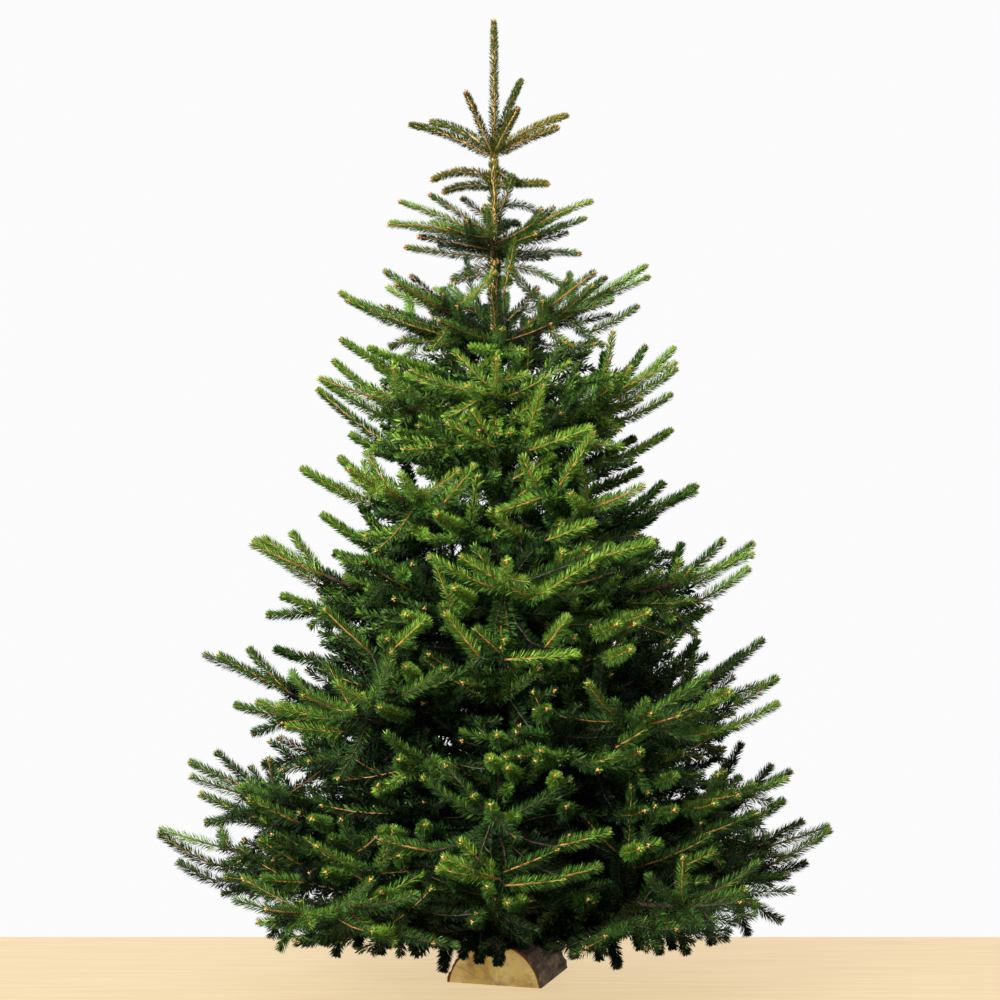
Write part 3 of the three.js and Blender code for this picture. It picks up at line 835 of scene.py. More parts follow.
# the twigs that fill the shade get a tone of painted shade
FILL_ORDER, FILL_SHADE = 2, 1.0
INNER_CURL, INNER_SIDE_CURL, INNER_DROOP = 0.06, 0.08, 0.05
FOOT_CURL, FOOT_SIDE_CURL, FOOT_DROOP = -0.08, 0.0, 0.12
masses_of_tier = {number: [b["mass"] for b in boughs if b["number"] == number] for number in TIERS}


def tier_near(height):
    return min(TIERS, key=lambda number: abs(TIERS[number]["height"] + FOLIAGE_RISE - height))


for row in range(INNER_TWIGS):
    height = lerp(*INNER_HEIGHTS, (row + 0.5) / INNER_TWIGS)
    azimuth = GOLDEN_TURN * row + TURN_SLACK * sway(row + 0.1)
    heading = pointing(azimuth, lerp(*INNER_RISE, vary(row + 0.4)))
    reach = np.interp(height * MM, *zip(*CROWN_PROFILE)) * lerp(*INNER_SHARE, vary(row + 0.6))
    twig = limb_towards(trunk_point(height * MM), heading, float(reach), INNER_CURL)
    mass = masses_of_tier[tier_near(height)][row % BOUGHS_PER_TIER]
    grow(mass, twig, FILL_ORDER, 500 + row, INNER_DROOP, INNER_SIDE_CURL, FILL_SHADE)

for row in range(FOOT_TWIGS):
    height = lerp(*FOOT_HEIGHTS, vary(row * 1.3 + 0.2))
    azimuth = math.radians(GOLDEN_TURN * row + TURN_SLACK * sway(row + 0.7))
    heading = unit(np.array((math.cos(azimuth), math.sin(azimuth), FOOT_RISE * sway(row + 0.3))))
    reach = lerp(*FOOT_REACH, vary(row + 0.9)) * MM
    twig = limb_towards(trunk_point(height * MM), heading, reach, FOOT_CURL)
    mass = masses_of_tier[LOWEST_WHORL][row % BOUGHS_PER_TIER]
    grow(mass, twig, FILL_ORDER, 800 + row, FOOT_DROOP, FOOT_SIDE_CURL, FILL_SHADE)
print("stretches with those:", sum(len(s) for s in shoots.values()))

# %% [markdown]
# ### Shoots placed one by one
# The eye knows a tree by its outline and by the few shoots that catch the light. Those are placed
# one by one: each row says where a shoot starts and ends, seen from the front. Where none of the
# rule's wood reaches its start, a twig from the nearest bough carries it there.

# %% Shoots of the outline, and lit shoots in front
OUTLINE_SHOOTS = [  # whorl, start across and up, tip across and up, in mm, and its shade
    (3, -125, 1231, -222, 1290, 0.0), (3, -198, 1195, -304, 1252, -0.3), (3, -125, 1177, -286, 1235, -0.3),
    (3, -152, 1186, -213, 1155, 0.9), (3, 122, 1231, 252, 1303, -0.4), (3, 150, 1182, 238, 1230, 0.0),
    (3, 95, 1222, 177, 1281, 0.4), (3, 60, 1190, 105, 1270, 0.8),
    (4, -180, 1098, -304, 1167, -0.6), (4, -198, 1030, -319, 1129, 0.2), (4, -207, 970, -341, 1074, 0.0),
    (4, -213, 1021, -333, 1091, 0.8), (4, -198, 948, -289, 993, 0.2), (4, -160, 1080, -240, 1120, -0.3),
    (4, -60, 1080, -190, 1122, -0.3), (4, -105, 1100, -250, 1150, -0.6), (4, 112, 1015, 122, 1105, -0.3),
    (4, 168, 1036, 175, 1142, 0.6), (4, 183, 1054, 249, 1153, 0.6), (4, 190, 1054, 298, 1149, -0.2),
    (4, 190, 1043, 302, 1112, -0.4), (4, 208, 1019, 300, 1067, 0.0), (4, 141, 915, 300, 1001, 0.0),
    (4, 131, 935, 232, 986, 1.6), (4, 150, 889, 245, 928, -0.2),
    (5, -253, 865, -377, 931, 0.4), (5, -207, 865, -308, 950, 0.8), (5, 205, 820, 347, 898, 0.6),
    (5, 205, 838, 281, 904, 0.8), (5, -216, 765, -341, 845, 0.2), (5, -207, 774, -268, 860, 0.2),
    (5, -216, 755, -313, 778, -0.5), (5, 175, 800, 262, 846, 1.6),
    (6, -344, 710, -469, 798, 0.0), (6, -344, 746, -443, 805, -0.3), (6, -344, 737, -396, 812, 0.0),
    (6, -308, 664, -414, 697, 0.0), (6, -326, 673, -443, 660, 0.6), (6, 287, 710, 316, 792, 0.0),
    (6, 300, 706, 399, 796, -0.2), (6, 333, 710, 450, 792, 0.6), (6, 351, 692, 437, 748, 0.8),
    (6, 259, 609, 360, 664, -0.2), (6, -205, 700, -290, 740, -0.2),
    (7, -418, 527, -533, 585, 0.0), (7, -399, 527, -469, 603, 0.2), (7, -326, 573, -425, 600, 1.0),
    (7, 369, 549, 461, 620, 0.8), (7, 370, 540, 432, 588, 0.3), (7, 406, 499, 488, 550, -0.2),
    (7, 397, 457, 492, 501, -0.2), (7, 300, 560, 345, 615, 0.8),
    (8, -381, 468, -504, 492, 0.0), (8, -399, 472, -472, 439, 1.0), (8, -363, 413, -441, 397, 1.6),
    (8, -454, 344, -533, 410, 0.8), (8, -472, 335, -588, 386, -0.1), (8, 388, 326, 433, 417, 1.8),
    (8, 415, 326, 475, 393, 0.9), (8, 433, 326, 521, 369, 0.0), (8, 415, 280, 499, 329, 0.0),
    (9, -454, 289, -564, 331, 0.1), (9, -472, 298, -555, 278, 1.0), (9, -546, 212, -634, 265, 0.2),
    (9, -537, 179, -601, 212, 0.8), (9, -454, 161, -527, 142, 1.2), (9, 479, 216, 580, 277, 0.2),
    (9, 479, 179, 549, 201, 1.2), (9, 455, 240, 540, 282, 1.0), (9, 433, 152, 492, 115, 1.6),
]  # fmt: skip
FRONT_SHOOTS = [  # whorl, distance to the front, start across and up, tip across and up, in mm
    (4, 270, 28, 986, 58, 1077), (4, 280, -24, 974, -102, 1013), (4, 270, -29, 986, -61, 1032),
    (4, 290, 36, 969, 139, 1007), (5, 300, 88, 909, 144, 996), (5, 320, 48, 909, 24, 955),
    (5, 330, 53, 887, -15, 866), (5, 330, 62, 815, 142, 846), (5, 310, -110, 880, -60, 940),
    (6, 400, 38, 720, -78, 790), (6, 400, 38, 720, 152, 793), (6, 405, 147, 791, 238, 815),
    (6, 430, -7, 621, 113, 632), (6, 430, -48, 624, -104, 697), (6, 430, -15, 633, -53, 670),
    (6, 340, -234, 623, -310, 696), (6, 420, 60, 640, 95, 690), (7, 310, -280, 504, -428, 537),
    (7, 310, -280, 485, -377, 496), (7, 380, 255, 500, 345, 545), (7, 400, 180, 470, 255, 520),
    (7, 420, -190, 640, -140, 690), (8, 260, -364, 320, -447, 363), (8, 280, -361, 251, -426, 294),
    (8, 290, -352, 221, -421, 230), (8, 330, 330, 310, 420, 350), (8, 340, 300, 480, 385, 500),
    (9, 500, -129, 312, -207, 333), (9, 520, -15, 271, -77, 333), (9, 530, -15, 271, -104, 309),
    (9, 530, -15, 271, -113, 291), (9, 520, -15, 279, 76, 320), (9, 520, 74, 323, 161, 349),
    (9, 540, -7, 263, 86, 276), (9, 530, 83, 275, 144, 294), (9, 390, 285, 264, 343, 294),
    (9, 390, 280, 240, 331, 244), (9, 400, 200, 300, 250, 310),
    (4, 200, -90, 1012, -30, 1048), (4, 220, 8, 918, 76, 956), (5, 230, 18, 888, 66, 932),
    (4, 200, -40, 950, 20, 985), (3, 60, -8, 1250, 12, 1345), (2, 40, -14, 1400, 8, 1462),
    (4, 150, -75, 1092, -18, 1136), (4, 150, -12, 1085, 28, 1132), (4, 200, 0, 1016, 52, 1062),
    (4, 120, -30, 1105, 5, 1150), (5, 300, 20, 820, -30, 862),
]  # fmt: skip
FACING_SHOOTS = [  # whorl, distance to the front, across and up: their tips point at the viewer
    (5, 360, -120, 860), (5, 370, 130, 800), (6, 420, -90, 740), (6, 440, 200, 640), (6, 430, -170, 610),
    (7, 430, -182, 456), (7, 470, 62, 545), (7, 430, -214, 542), (7, 440, 234, 534), (7, 460, -20, 500),
    (8, 430, 275, 428), (8, 480, 94, 385), (8, 440, 224, 372), (8, 420, 275, 370), (8, 480, 76, 436),
    (8, 470, -60, 400), (8, 450, -140, 350), (9, 400, -330, 352), (9, 420, -296, 322), (9, 430, -304, 268),
    (9, 500, -209, 247), (9, 480, 213, 316), (9, 520, 20, 240), (9, 470, 130, 230),
    (8, 475, 52, 476), (8, 445, 216, 470), (8, 365, 345, 372), (8, 340, 387, 384), (6, 400, 210, 679),
    (6, 390, 231, 697), (7, 370, 370, 561), (8, 490, -2, 450), (6, 410, 179, 679), (4, 240, -60, 1026),
    (6, 400, -202, 654), (6, 400, -172, 694), (8, 480, -31, 464), (8, 440, -217, 414), (9, 460, -210, 343),
    (9, 480, -180, 304), (9, 510, -91, 271),
]  # fmt: skip
FOOT_SHOOTS = [  # the same for tips that hang at the crown's foot and before the log
    (9, 250, -100, 155, -114, 66), (9, 240, -45, 165, -51, 79), (9, 250, -10, 165, -18, 77),
    (9, 250, 25, 190, 28, 106), (9, 230, 70, 185, 76, 100), (9, 240, 105, 175, 115, 88),
    (9, 240, 150, 170, 158, 84), (9, 240, 172, 160, 189, 70), (9, 240, -155, 195, -165, 108),
    (9, 200, -215, 175, -225, 86), (9, 210, -255, 185, -265, 98), (9, 190, -290, 170, -304, 80),
    (9, 110, -380, 150, -409, 72), (9, 200, 220, 180, 230, 94), (9, 200, 250, 175, 265, 85),
    (9, 150, 295, 165, 316, 74), (9, 110, 405, 170, 429, 100), (9, 120, -340, 160, -356, 84),
    (9, 170, -190, 170, -196, 92), (9, 150, 345, 170, 362, 92),
    (9, 245, -70, 165, -80, 88), (9, 235, -26, 165, -34, 92), (9, 235, -92, 185, -98, 106),
    (9, 235, 4, 190, 6, 104), (9, 240, -58, 180, -64, 102), (9, 225, 48, 200, 52, 112),
    (9, 120, -400, 165, -425, 98), (9, 160, -300, 175, -325, 92), (9, 170, 270, 175, 290, 88),
    (9, 200, -138, 195, -150, 124), (9, 200, 130, 190, 144, 122), (9, 190, 92, 175, 101, 102),
    (9, 180, -170, 200, -178, 128), (9, 180, 175, 195, 186, 122),
]  # fmt: skip
print("rows of shoots:", [len(t) for t in (OUTLINE_SHOOTS, FRONT_SHOOTS, FACING_SHOOTS, FOOT_SHOOTS)])

# %% Carry a placed shoot
CARRIED_FROM = 18 * MM  # a start this close to a bough needs no twig to carry it
CARRIED_RADII, CARRIED_FULL, CARRIED_SHADE = (1.8 * MM, 1.5 * MM), 1.3, 0.4
PLACED_RADII, PLACED_FULL = (1.9 * MM, 1.1 * MM), 1.8
ALONG_BOUGH, NEAREST_TRUNK = np.linspace(0.12, 0.95, 12), 0.05  # where such a twig may leave it


def carry(number, root, heading, seed, shade):
    """A twig from the nearest bough of the whorl to the foot of a placed shoot."""
    near = [
        (np.linalg.norm(b["line"].point(share) - root), b, share)
        for b in boughs if abs(b["number"] - number) < 2 for share in ALONG_BOUGH
    ]  # fmt: skip
    gap, bough, share = min(near, key=lambda found: found[0])
    if gap > CARRIED_FROM:
        foot = bough["line"].point(max(NEAREST_TRUNK, share - 0.5 * gap / bough["line"].size()))
        span = root - foot
        bow = 0.5 * (heading * np.linalg.norm(span) - span)
        line = Limb(foot, span - bow, bow)
        add_stretch(bough["mass"], line, CARRIED_RADII, 1, 1, seed, shade, full=CARRIED_FULL)
    return bough["mass"]


def place_shoot(number, root, tip, seed, curl, shade):
    """A shoot from root to tip, with the twig that carries it."""
    bow = UP * (curl * np.linalg.norm(tip - root))
    line = Limb(root, tip - root - bow, bow)
    mass = carry(number, root, line.heading(0), seed + 0.5, max(CARRIED_SHADE, shade))
    add_stretch(mass, line, PLACED_RADII, 0, 1, seed, shade, bud=True, full=PLACED_FULL)


print("a placed shoot is", 2 * PLACED_RADII[0], "m thick at its foot")

# %% Place the shoots
OUTLINE_DEPTH = 70 * MM  # how far the outline's shoots lie before or behind the trunk, at most
FACING_LENGTH = 110 * MM
SHOOT_CURL, FRONT_CURL = 0.10, 0.06
FRONT_BACK, FOOT_BACK = 20 * MM, 15 * MM  # a shoot starts that much further back than it ends
FACING_FAN, FACING_SCATTER, FACING_RISE = 0.5, 0.2, 0.25
FACING_SHADE, FRONT_SHADE, FOOT_SHADE = -0.4, -0.5, 1.5  # below 0 is painted light that makes the lit shoots' needles lighter, above 0 painted shade

for row, (number, *ends, shade) in enumerate(OUTLINE_SHOOTS):
    depth = OUTLINE_DEPTH * sway(900 + row)
    root, tip = (np.array((ends[k] * MM, depth, ends[k + 1] * MM)) for k in (0, 2))
    place_shoot(number, root, tip, 900 + row, SHOOT_CURL, shade)
for table, seed, back, curl, shade in (
    (FRONT_SHOOTS, 1000, FRONT_BACK, FRONT_CURL, FRONT_SHADE),
    (FOOT_SHOOTS, 1200, FOOT_BACK, 0.0, FOOT_SHADE),
):
    for row, (number, front, *ends) in enumerate(table):
        root, tip = (np.array((ends[k], -front, ends[k + 1])) * MM for k in (0, 2))
        place_shoot(number, root + (0, back, 0), tip, seed + row, curl, shade)
for row, (number, front, across, up) in enumerate(FACING_SHOOTS):
    tip = np.array((across, -front, up)) * MM
    heading = unit(np.array((FACING_FAN * across / front + FACING_SCATTER * sway(row), -1.0, FACING_RISE)))
    place_shoot(number, tip - heading * FACING_LENGTH, tip, 1100 + row, SHOOT_CURL, FACING_SHADE)
print("shoots placed:", len(OUTLINE_SHOOTS + FRONT_SHOOTS + FOOT_SHOOTS + FACING_SHOOTS))

# %% [markdown]
# ## The crown's top
# The leader stands straight up from the fork, as thick as a pencil at its foot, with short
# needles pressed close. Seven shoots rise round its foot and arch over at their ends.

# %% The leader and the top whorl
LEADER_TIP_RADIUS = 2.8 * MM
TOP_SHOOTS = [  # where each tip lies from the fork, in mm, and its upward curl as a share
    (-152, 0, 62, -0.20),
    (-116, 74, 76, -0.30),
    (-50, -62, 112, -0.02),
    (42, -112, 76, -0.05),
    (114, -54, 50, -0.08),
    (134, 58, 86, -0.22),
    (50, 58, 150, -0.26),
]
TOP_SHOOT_RADII, LEADER_BUD = (2.8 * MM, 2.0 * MM), 4 * MM

fork = trunk_point(FORK_HEIGHT)
leader_line = Limb(fork, (0, 0, TREE_HEIGHT - FORK_HEIGHT - LEADER_BUD), (0, 0, 0))
add_stretch("crown_top", leader_line, (FORK_RADIUS, LEADER_TIP_RADIUS), 0, 0, 701, bud=True)
for row, (x, y, z, curl) in enumerate(TOP_SHOOTS):
    root = leader_line.point(0.01 + 0.03 * vary(row))
    tip = fork + np.array((x, y, z)) * MM
    bow = UP * (curl * np.linalg.norm(tip - root))
    line = Limb(root, tip - root - bow, bow)
    add_stretch("crown_top", line, TOP_SHOOT_RADII, 0, 1, 710 + row, bud=True)
print("shoots in the top whorl:", len(TOP_SHOOTS))

# %% [markdown]
# ## Needles
# There are over half a million needles, far too many to model one by one. Each is the same small
# blade of two triangles, folded along its middle: a root in the twig, two corners at its widest
# and a point. numpy works out all the needles of a piece at once. They stand round the twig in a
# spiral of golden angles and lean more towards the tip near the shoot's end. On the side that
# faces outward and up about half of them are left out, so that the orange twig shows there.

# %% How many needles, how long, and in which tone
NEEDLES_PER_MM, LEAST_NEEDLES = 2.1, 4
BARE_TOP = 1.15  # over this height the trunk shows, and needles stand close right up to it
TOP_CROWDING, UPPER_CROWDING = 1.7, 1.3  # on the crown's top, and on the shoots next to it
CROWDING_INSIDE = ((0.2, 0.5, 0.8), (0.24, 0.46, 1.12))  # outness, and how crowded they are
CROWDING_BY_AGE = (1.0, 0.95, 0.85, 0.7, 0.5, 0.3, 0.3)
NEEDLE_LENGTHS = ((0.85, 1.15, 1.35, 1.50, 1.56), (19.0, 16.5, 15.0, 13.0, 11.5))  # height, mm
TONE_START, TONE_BY_AGE, TONE_SCATTER = 0.25, 0.9, 1.9
PAINTED_SHADE_INSIDE = ((0.6, 1.0), (3.1, 1.8))  # height, and how many tones of painted shade a stretch at the trunk gets
# height, and how many tones of painted shade a stretch gets there; below 0 it is painted light
PAINTED_SHADE_BY_HEIGHT = ((0.10, 0.25, 0.50, 0.75, 0.95, 1.15, 1.30), (0.85, 1.15, 0.85, 0.0, -0.75, -0.4, 0.4))
LIGHTEST, DEEPEST = 1, 5


def crowding(shoot):
    """Needles get fewer on old wood and deep in the crown."""
    middle = shoot["line"].point(0.5)
    if shoot["full"]:
        return shoot["full"]
    inside = UPPER_CROWDING if middle[2] > BARE_TOP else np.interp(outness(middle), *CROWDING_INSIDE)
    return float(inside) * CROWDING_BY_AGE[shoot["age"]]


def needle_length(height):
    """Needles are shorter towards the top of the tree."""
    return float(np.interp(height, *NEEDLE_LENGTHS)) * MM


def tone_of(shoot):
    """Which of the needle tones a stretch has. Younger is lighter; painted shade makes it deeper further
    in and lower down, and painted light lighter in the upper middle; its own shade adds painted shade, or
    painted light below 0.
    """
    place = shoot["line"].point(0.7)
    tone = TONE_START + TONE_BY_AGE * shoot["age"]
    tone = tone + TONE_SCATTER * vary(shoot["seed"] * 1.7 + 0.3) + shoot["shade"]
    # painted shade: deeper towards the trunk and by height
    inner = np.interp(place[2], *PAINTED_SHADE_INSIDE)
    tone += np.interp(outness(place), (0.25, 0.5, 0.85), (inner, 0.55 * inner, 0.0))
    tone += np.interp(place[2], *PAINTED_SHADE_BY_HEIGHT)
    return int(min(DEEPEST, max(LIGHTEST, round(tone))))


print("needles are", needle_length(0), "m long low down, and", needle_length(TREE_HEIGHT), "m on top")

# %% Where needles stand on their twigs
GOLDEN_ANGLE = math.pi * (3 - math.sqrt(5))
ANGLE_SLACK, BARE_ROOT = 0.35, 0.05  # radians off the spiral, and a side twig's bare share
STEEP = 0.95  # a heading as upright as this is framed from the right, not from above
PARTING, PARTING_LEFT = 0.45, 0.45  # half its angle in radians, and the share left in it
LIT_OUT, LIT_UP = 0.8, 0.6  # the parting faces that way
rng = np.random.default_rng(24)


def spread(group, field):
    return np.array([shoot[field] for shoot in group])


def lines_of(group):
    """The starts, sweeps and bows of many stretches."""
    return (np.array([getattr(s["line"], field) for s in group]) for field in ("start", "sweep", "bow"))


def reference_for(along):
    """Up, or right where a heading is nearly upright."""
    return np.where(np.abs(along[..., 2:]) > STEEP, RIGHT, UP)


def stands_of(group, counts):
    """For each needle its twig, its share along it, that place, the heading and the way out."""
    which = np.repeat(np.arange(len(group)), counts)
    total = len(which)
    place = np.arange(total) - np.repeat(np.cumsum(counts) - counts, counts)
    foot = np.where(spread(group, "order") > 0, BARE_ROOT, 0.0)[which]
    share = foot + (1 - foot) * (place + rng.uniform(0.2, 0.8, total)) / counts[which]
    start, sweep, bow = (values[which] for values in lines_of(group))
    along = unit(sweep + 2 * bow * share[:, None])
    centre = start + sweep * share[:, None] + bow * share[:, None] ** 2
    side, over = frame_of(along, reference_for(along))
    angle = GOLDEN_ANGLE * place + rng.uniform(-ANGLE_SLACK, ANGLE_SLACK, total)
    radial = side * np.cos(angle)[:, None] + over * np.sin(angle)[:, None]
    return which, share, centre, along, radial


def outside_parting(centre, along, radial):
    """Which needles are kept."""
    outward = centre * (1, 1, 0) + (0, 0, 1e-4)
    lit = unit(outward) * LIT_OUT + UP * LIT_UP
    lit = unit(lit - along * (lit * along).sum(1)[:, None])
    return ((radial * lit).sum(1) < math.cos(PARTING)) | (rng.random(len(centre)) < PARTING_LEFT)


print("needles turn by", round(math.degrees(GOLDEN_ANGLE), 1), "degrees each")

# %% The blades of many needles at once
NEEDLE_LEAN = (61, 35)  # degrees from the twig, at a shoot's foot and at its end
OLD_LEAN, LEAN_POWER, LEAN_SCATTER, NEEDLE_RISE = 0.35, 1.4, 4, 0.10
NEEDLE_HALF_WIDTH, NEEDLE_BELLY = 1.0 * MM, 0.54  # widest at that share of the length
NEEDLE_FOLD = 0.35  # height of the keel under the middle, as a share of the half width
NEEDLE_ROOT, NEEDLE_ROLL = 0.7, 0.9  # how deep it is rooted in the twig, and its turn in radians
YOUNG_LENGTHS, OLD_LENGTH = ((0, 0.12, 0.9, 1), (0.7, 1, 0.95, 0.58)), 0.95
WIDTH_BY_LENGTH = ((9, 18), (0.85, 1.0))
WIDTH_INSIDE = ((0.3, 0.8), (2.7, 0.97))  # deep in the crown fewer and wider needles fill it
TOP_LEAN, TOP_WIDTH, UPPER_WIDTH = 1.15, 1.25, 0.95
# needles that point further down than UNDERSIDE get a tone of painted shade
UNDERSIDE, SHOOT_END = -0.4, 0.90
TONE_STEPS = [-1, 0, 0, 0, 0, 1]  # a needle may be a tone lighter or deeper than its spray


def width_of(shoot):
    if shoot["line"].start[2] >= BARE_TOP:
        return 1.0
    return np.interp(outness(shoot["line"].point(0.5)), *WIDTH_INSIDE)


def blades(root, heading, radial, lengths, half):
    """Four corners for each needle, rolled a little about its own length."""
    across = unit(np.cross(heading, radial))
    keel = np.cross(across, heading)
    roll = rng.uniform(-NEEDLE_ROLL, NEEDLE_ROLL, len(root))[:, None]
    turned = across * np.cos(roll) + keel * np.sin(roll)
    keel = keel * np.cos(roll) - across * np.sin(roll)
    middle = root + heading * (lengths * NEEDLE_BELLY)[:, None] - keel * half * NEEDLE_FOLD
    tip = root + heading * lengths[:, None]
    return np.stack([root, middle + turned * half, middle - turned * half, tip], 1)


def needle_tones(group, which, share, youngest, radial, top):
    """The spray's tone for each needle: painted shade makes it deeper underneath a shoot, and it is
    sometimes lighter at a shoot's end.
    """
    total = len(which)
    tones = np.array([tone_of(s) for s in group])[which] + rng.choice(TONE_STEPS, total)
    # painted shade under each shoot
    tones += radial[:, 2] < UNDERSIDE
    tones -= 1 if top else 0
    at_end = youngest & (share > SHOOT_END)
    return np.where(at_end & (tones < 4), tones - (rng.random(total) < 0.3), tones)


def needles_of(group, top=False):
    """The corners and faces of all needles on these stretches, and each face's tone."""
    group = [s for s in group if s["needles"]]
    sizes = np.array([s["line"].size() for s in group])
    crowds = np.array([crowding(s) for s in group])
    counts = sizes / MM * NEEDLES_PER_MM * crowds * (TOP_CROWDING if top else 1.0)
    counts = np.maximum(LEAST_NEEDLES, counts.astype(int))
    which, share, centre, along, radial = stands_of(group, counts)
    total = len(which)
    youngest = spread(group, "age")[which] == 0
    kept = outside_parting(centre, along, radial)
    forward = np.where(youngest, share, OLD_LEAN * share)
    lean = np.radians(lerp(*NEEDLE_LEAN, forward**LEAN_POWER) + rng.normal(0, LEAN_SCATTER, total))
    if top:
        lean = lean * TOP_LEAN
    heading = unit(along * np.cos(lean)[:, None] + radial * np.sin(lean)[:, None] + UP * NEEDLE_RISE)
    lengths = np.array([needle_length(s["line"].point(0.5)[2]) for s in group])[which]
    lengths = lengths * rng.uniform(0.9, 1.06, total)
    lengths *= np.where(youngest, np.interp(share, *YOUNG_LENGTHS), OLD_LENGTH)
    radii = lerp(*spread(group, "radii")[which].T, share)
    root = centre + radial * (radii * NEEDLE_ROOT)[:, None]
    half = NEEDLE_HALF_WIDTH * np.interp(lengths / MM, *WIDTH_BY_LENGTH)
    if top:
        half = half * TOP_WIDTH
    else:
        half = half * np.array([width_of(s) for s in group])[which]
        half = half * np.where(centre[:, 2] > BARE_TOP, UPPER_WIDTH, 1.0)
    corners = blades(root, heading, radial, lengths, half[:, None])
    tones = needle_tones(group, which, share, youngest, radial, top)
    kept |= youngest & (share > SHOOT_END)
    corners, tones = corners[kept], tones[kept]
    blade = np.array([(0, 1, 3), (0, 3, 2)])
    faces = (np.arange(len(corners))[:, None, None] * 4 + blade).reshape(-1, 3)
    return corners.reshape(-1, 3), faces, np.repeat(tones, 2)


print("needle rule ready")

# %% [markdown]
# ## Twigs and buds
# A twig is a thin tube of a few rings that follows its line and tapers. A shoot ends in a bud,
# and up to three smaller buds sit round it: next year's side twigs.

# %% Tubes for many twigs at once
TWIG_SIDES, TWIG_RINGS = 5, 4
SHADED_FROM, SUNNY_FROM = 0.7, 0.6  # a placed shoot's shade, and the others' outness
SUNNY_SHARE = ((0.2, 0.6, 1.0), (0.35, 0.60, 1.0))  # height, and how many twigs keep the sunny colour; the others get the painted shade


def twig_kind(shoot):
    """0 for a sunny young twig, 1 for a young twig darkened with painted shade, 2 for old wood."""
    if shoot["age"] > 0:
        return 2
    if shoot["full"] and shoot["shade"] < SHADED_FROM:
        return 0
    place = shoot["line"].point(0.7)
    # twigs further in get the painted-shade colour
    sunny = outness(place) > SUNNY_FROM and not shoot["shade"]
    sunny = sunny and vary(shoot["seed"] * 3.7) < np.interp(place[2], *SUNNY_SHARE)
    return 0 if sunny or place[2] > BARE_TOP else 1


def ring_round(along, sides):
    """Directions from a line outwards, evenly round it."""
    side, over = frame_of(along, reference_for(along))
    turn = (np.arange(sides) * 2 * math.pi / sides)[:, None]
    return side[..., None, :] * np.cos(turn) + over[..., None, :] * np.sin(turn)


def repeated(faces, count, corners):
    """The same faces for each of many shapes that have that many corners."""
    return (np.arange(count)[:, None, None] * corners + np.array(faces)).reshape(-1, 3)


def twigs_of(group):
    """Closed tubes along these stretches, as corners and triangles, with a kind each."""
    share = np.linspace(0, 1, TWIG_RINGS)
    start, sweep, bow = (values[:, None] for values in lines_of(group))
    radii = spread(group, "radii")
    s = share[None, :, None]
    centre = start + sweep * s + bow * s**2
    ring = ring_round(unit(sweep + 2 * bow * s), TWIG_SIDES)
    radius = lerp(radii[:, :1], radii[:, 1:], share[None])[:, :, None, None]
    corners = (centre[:, :, None] + ring * radius).reshape(-1, 3)
    faces = []
    for low in range(0, (TWIG_RINGS - 1) * TWIG_SIDES, TWIG_SIDES):
        high = low + TWIG_SIDES
        for k in range(TWIG_SIDES):
            after = (k + 1) % TWIG_SIDES
            faces += [(low + k, high + k, high + after), (low + k, high + after, low + after)]
    last = (TWIG_RINGS - 1) * TWIG_SIDES
    for k in range(1, TWIG_SIDES - 1):
        faces += [(0, k, k + 1), (last, last + k + 1, last + k)]
    kinds = [twig_kind(s) for s in group]
    return corners, repeated(faces, len(group), TWIG_RINGS * TWIG_SIDES), np.repeat(kinds, len(faces))


print("twig rule ready")

# %% Spindles for many buds at once
BUD_SIDES, BUD_LENGTH, BUD_RADIUS, BUD_BELLY = 5, 8.0 * MM, 2.5 * MM, 0.42
BUDS_FROM = 0.62  # share of the crown's reach from which shoots carry buds
RARE_ORDER, RARE_CHANCES = 2, (0.9, 0.4)  # most shoots of a low order carry buds, few others do
BUD_SIZES = ((0.03, 0.1), (0.62, 1.0))  # a shoot's length, and its bud's size
SEEN_BUD, SIDE_BUD, SIDE_BUDS, SIDE_BUDS_FROM = 1.2, 0.80, 3, 75 * MM
BUD_SUNK, SIDE_BUD_SUNK = 1.2 * MM, 2.2 * MM
GOLD_BELOW, GOLD_SHARE = 0.80, 0.7  # buds are more golden below this height


def carries_buds(shoot, tip):
    rare = vary(shoot["seed"] * 2.9 + 0.2) > RARE_CHANCES[shoot["order"] >= RARE_ORDER]
    return shoot["bud"] and (tip[2] >= BARE_TOP or not (outness(tip) < BUDS_FROM or rare))


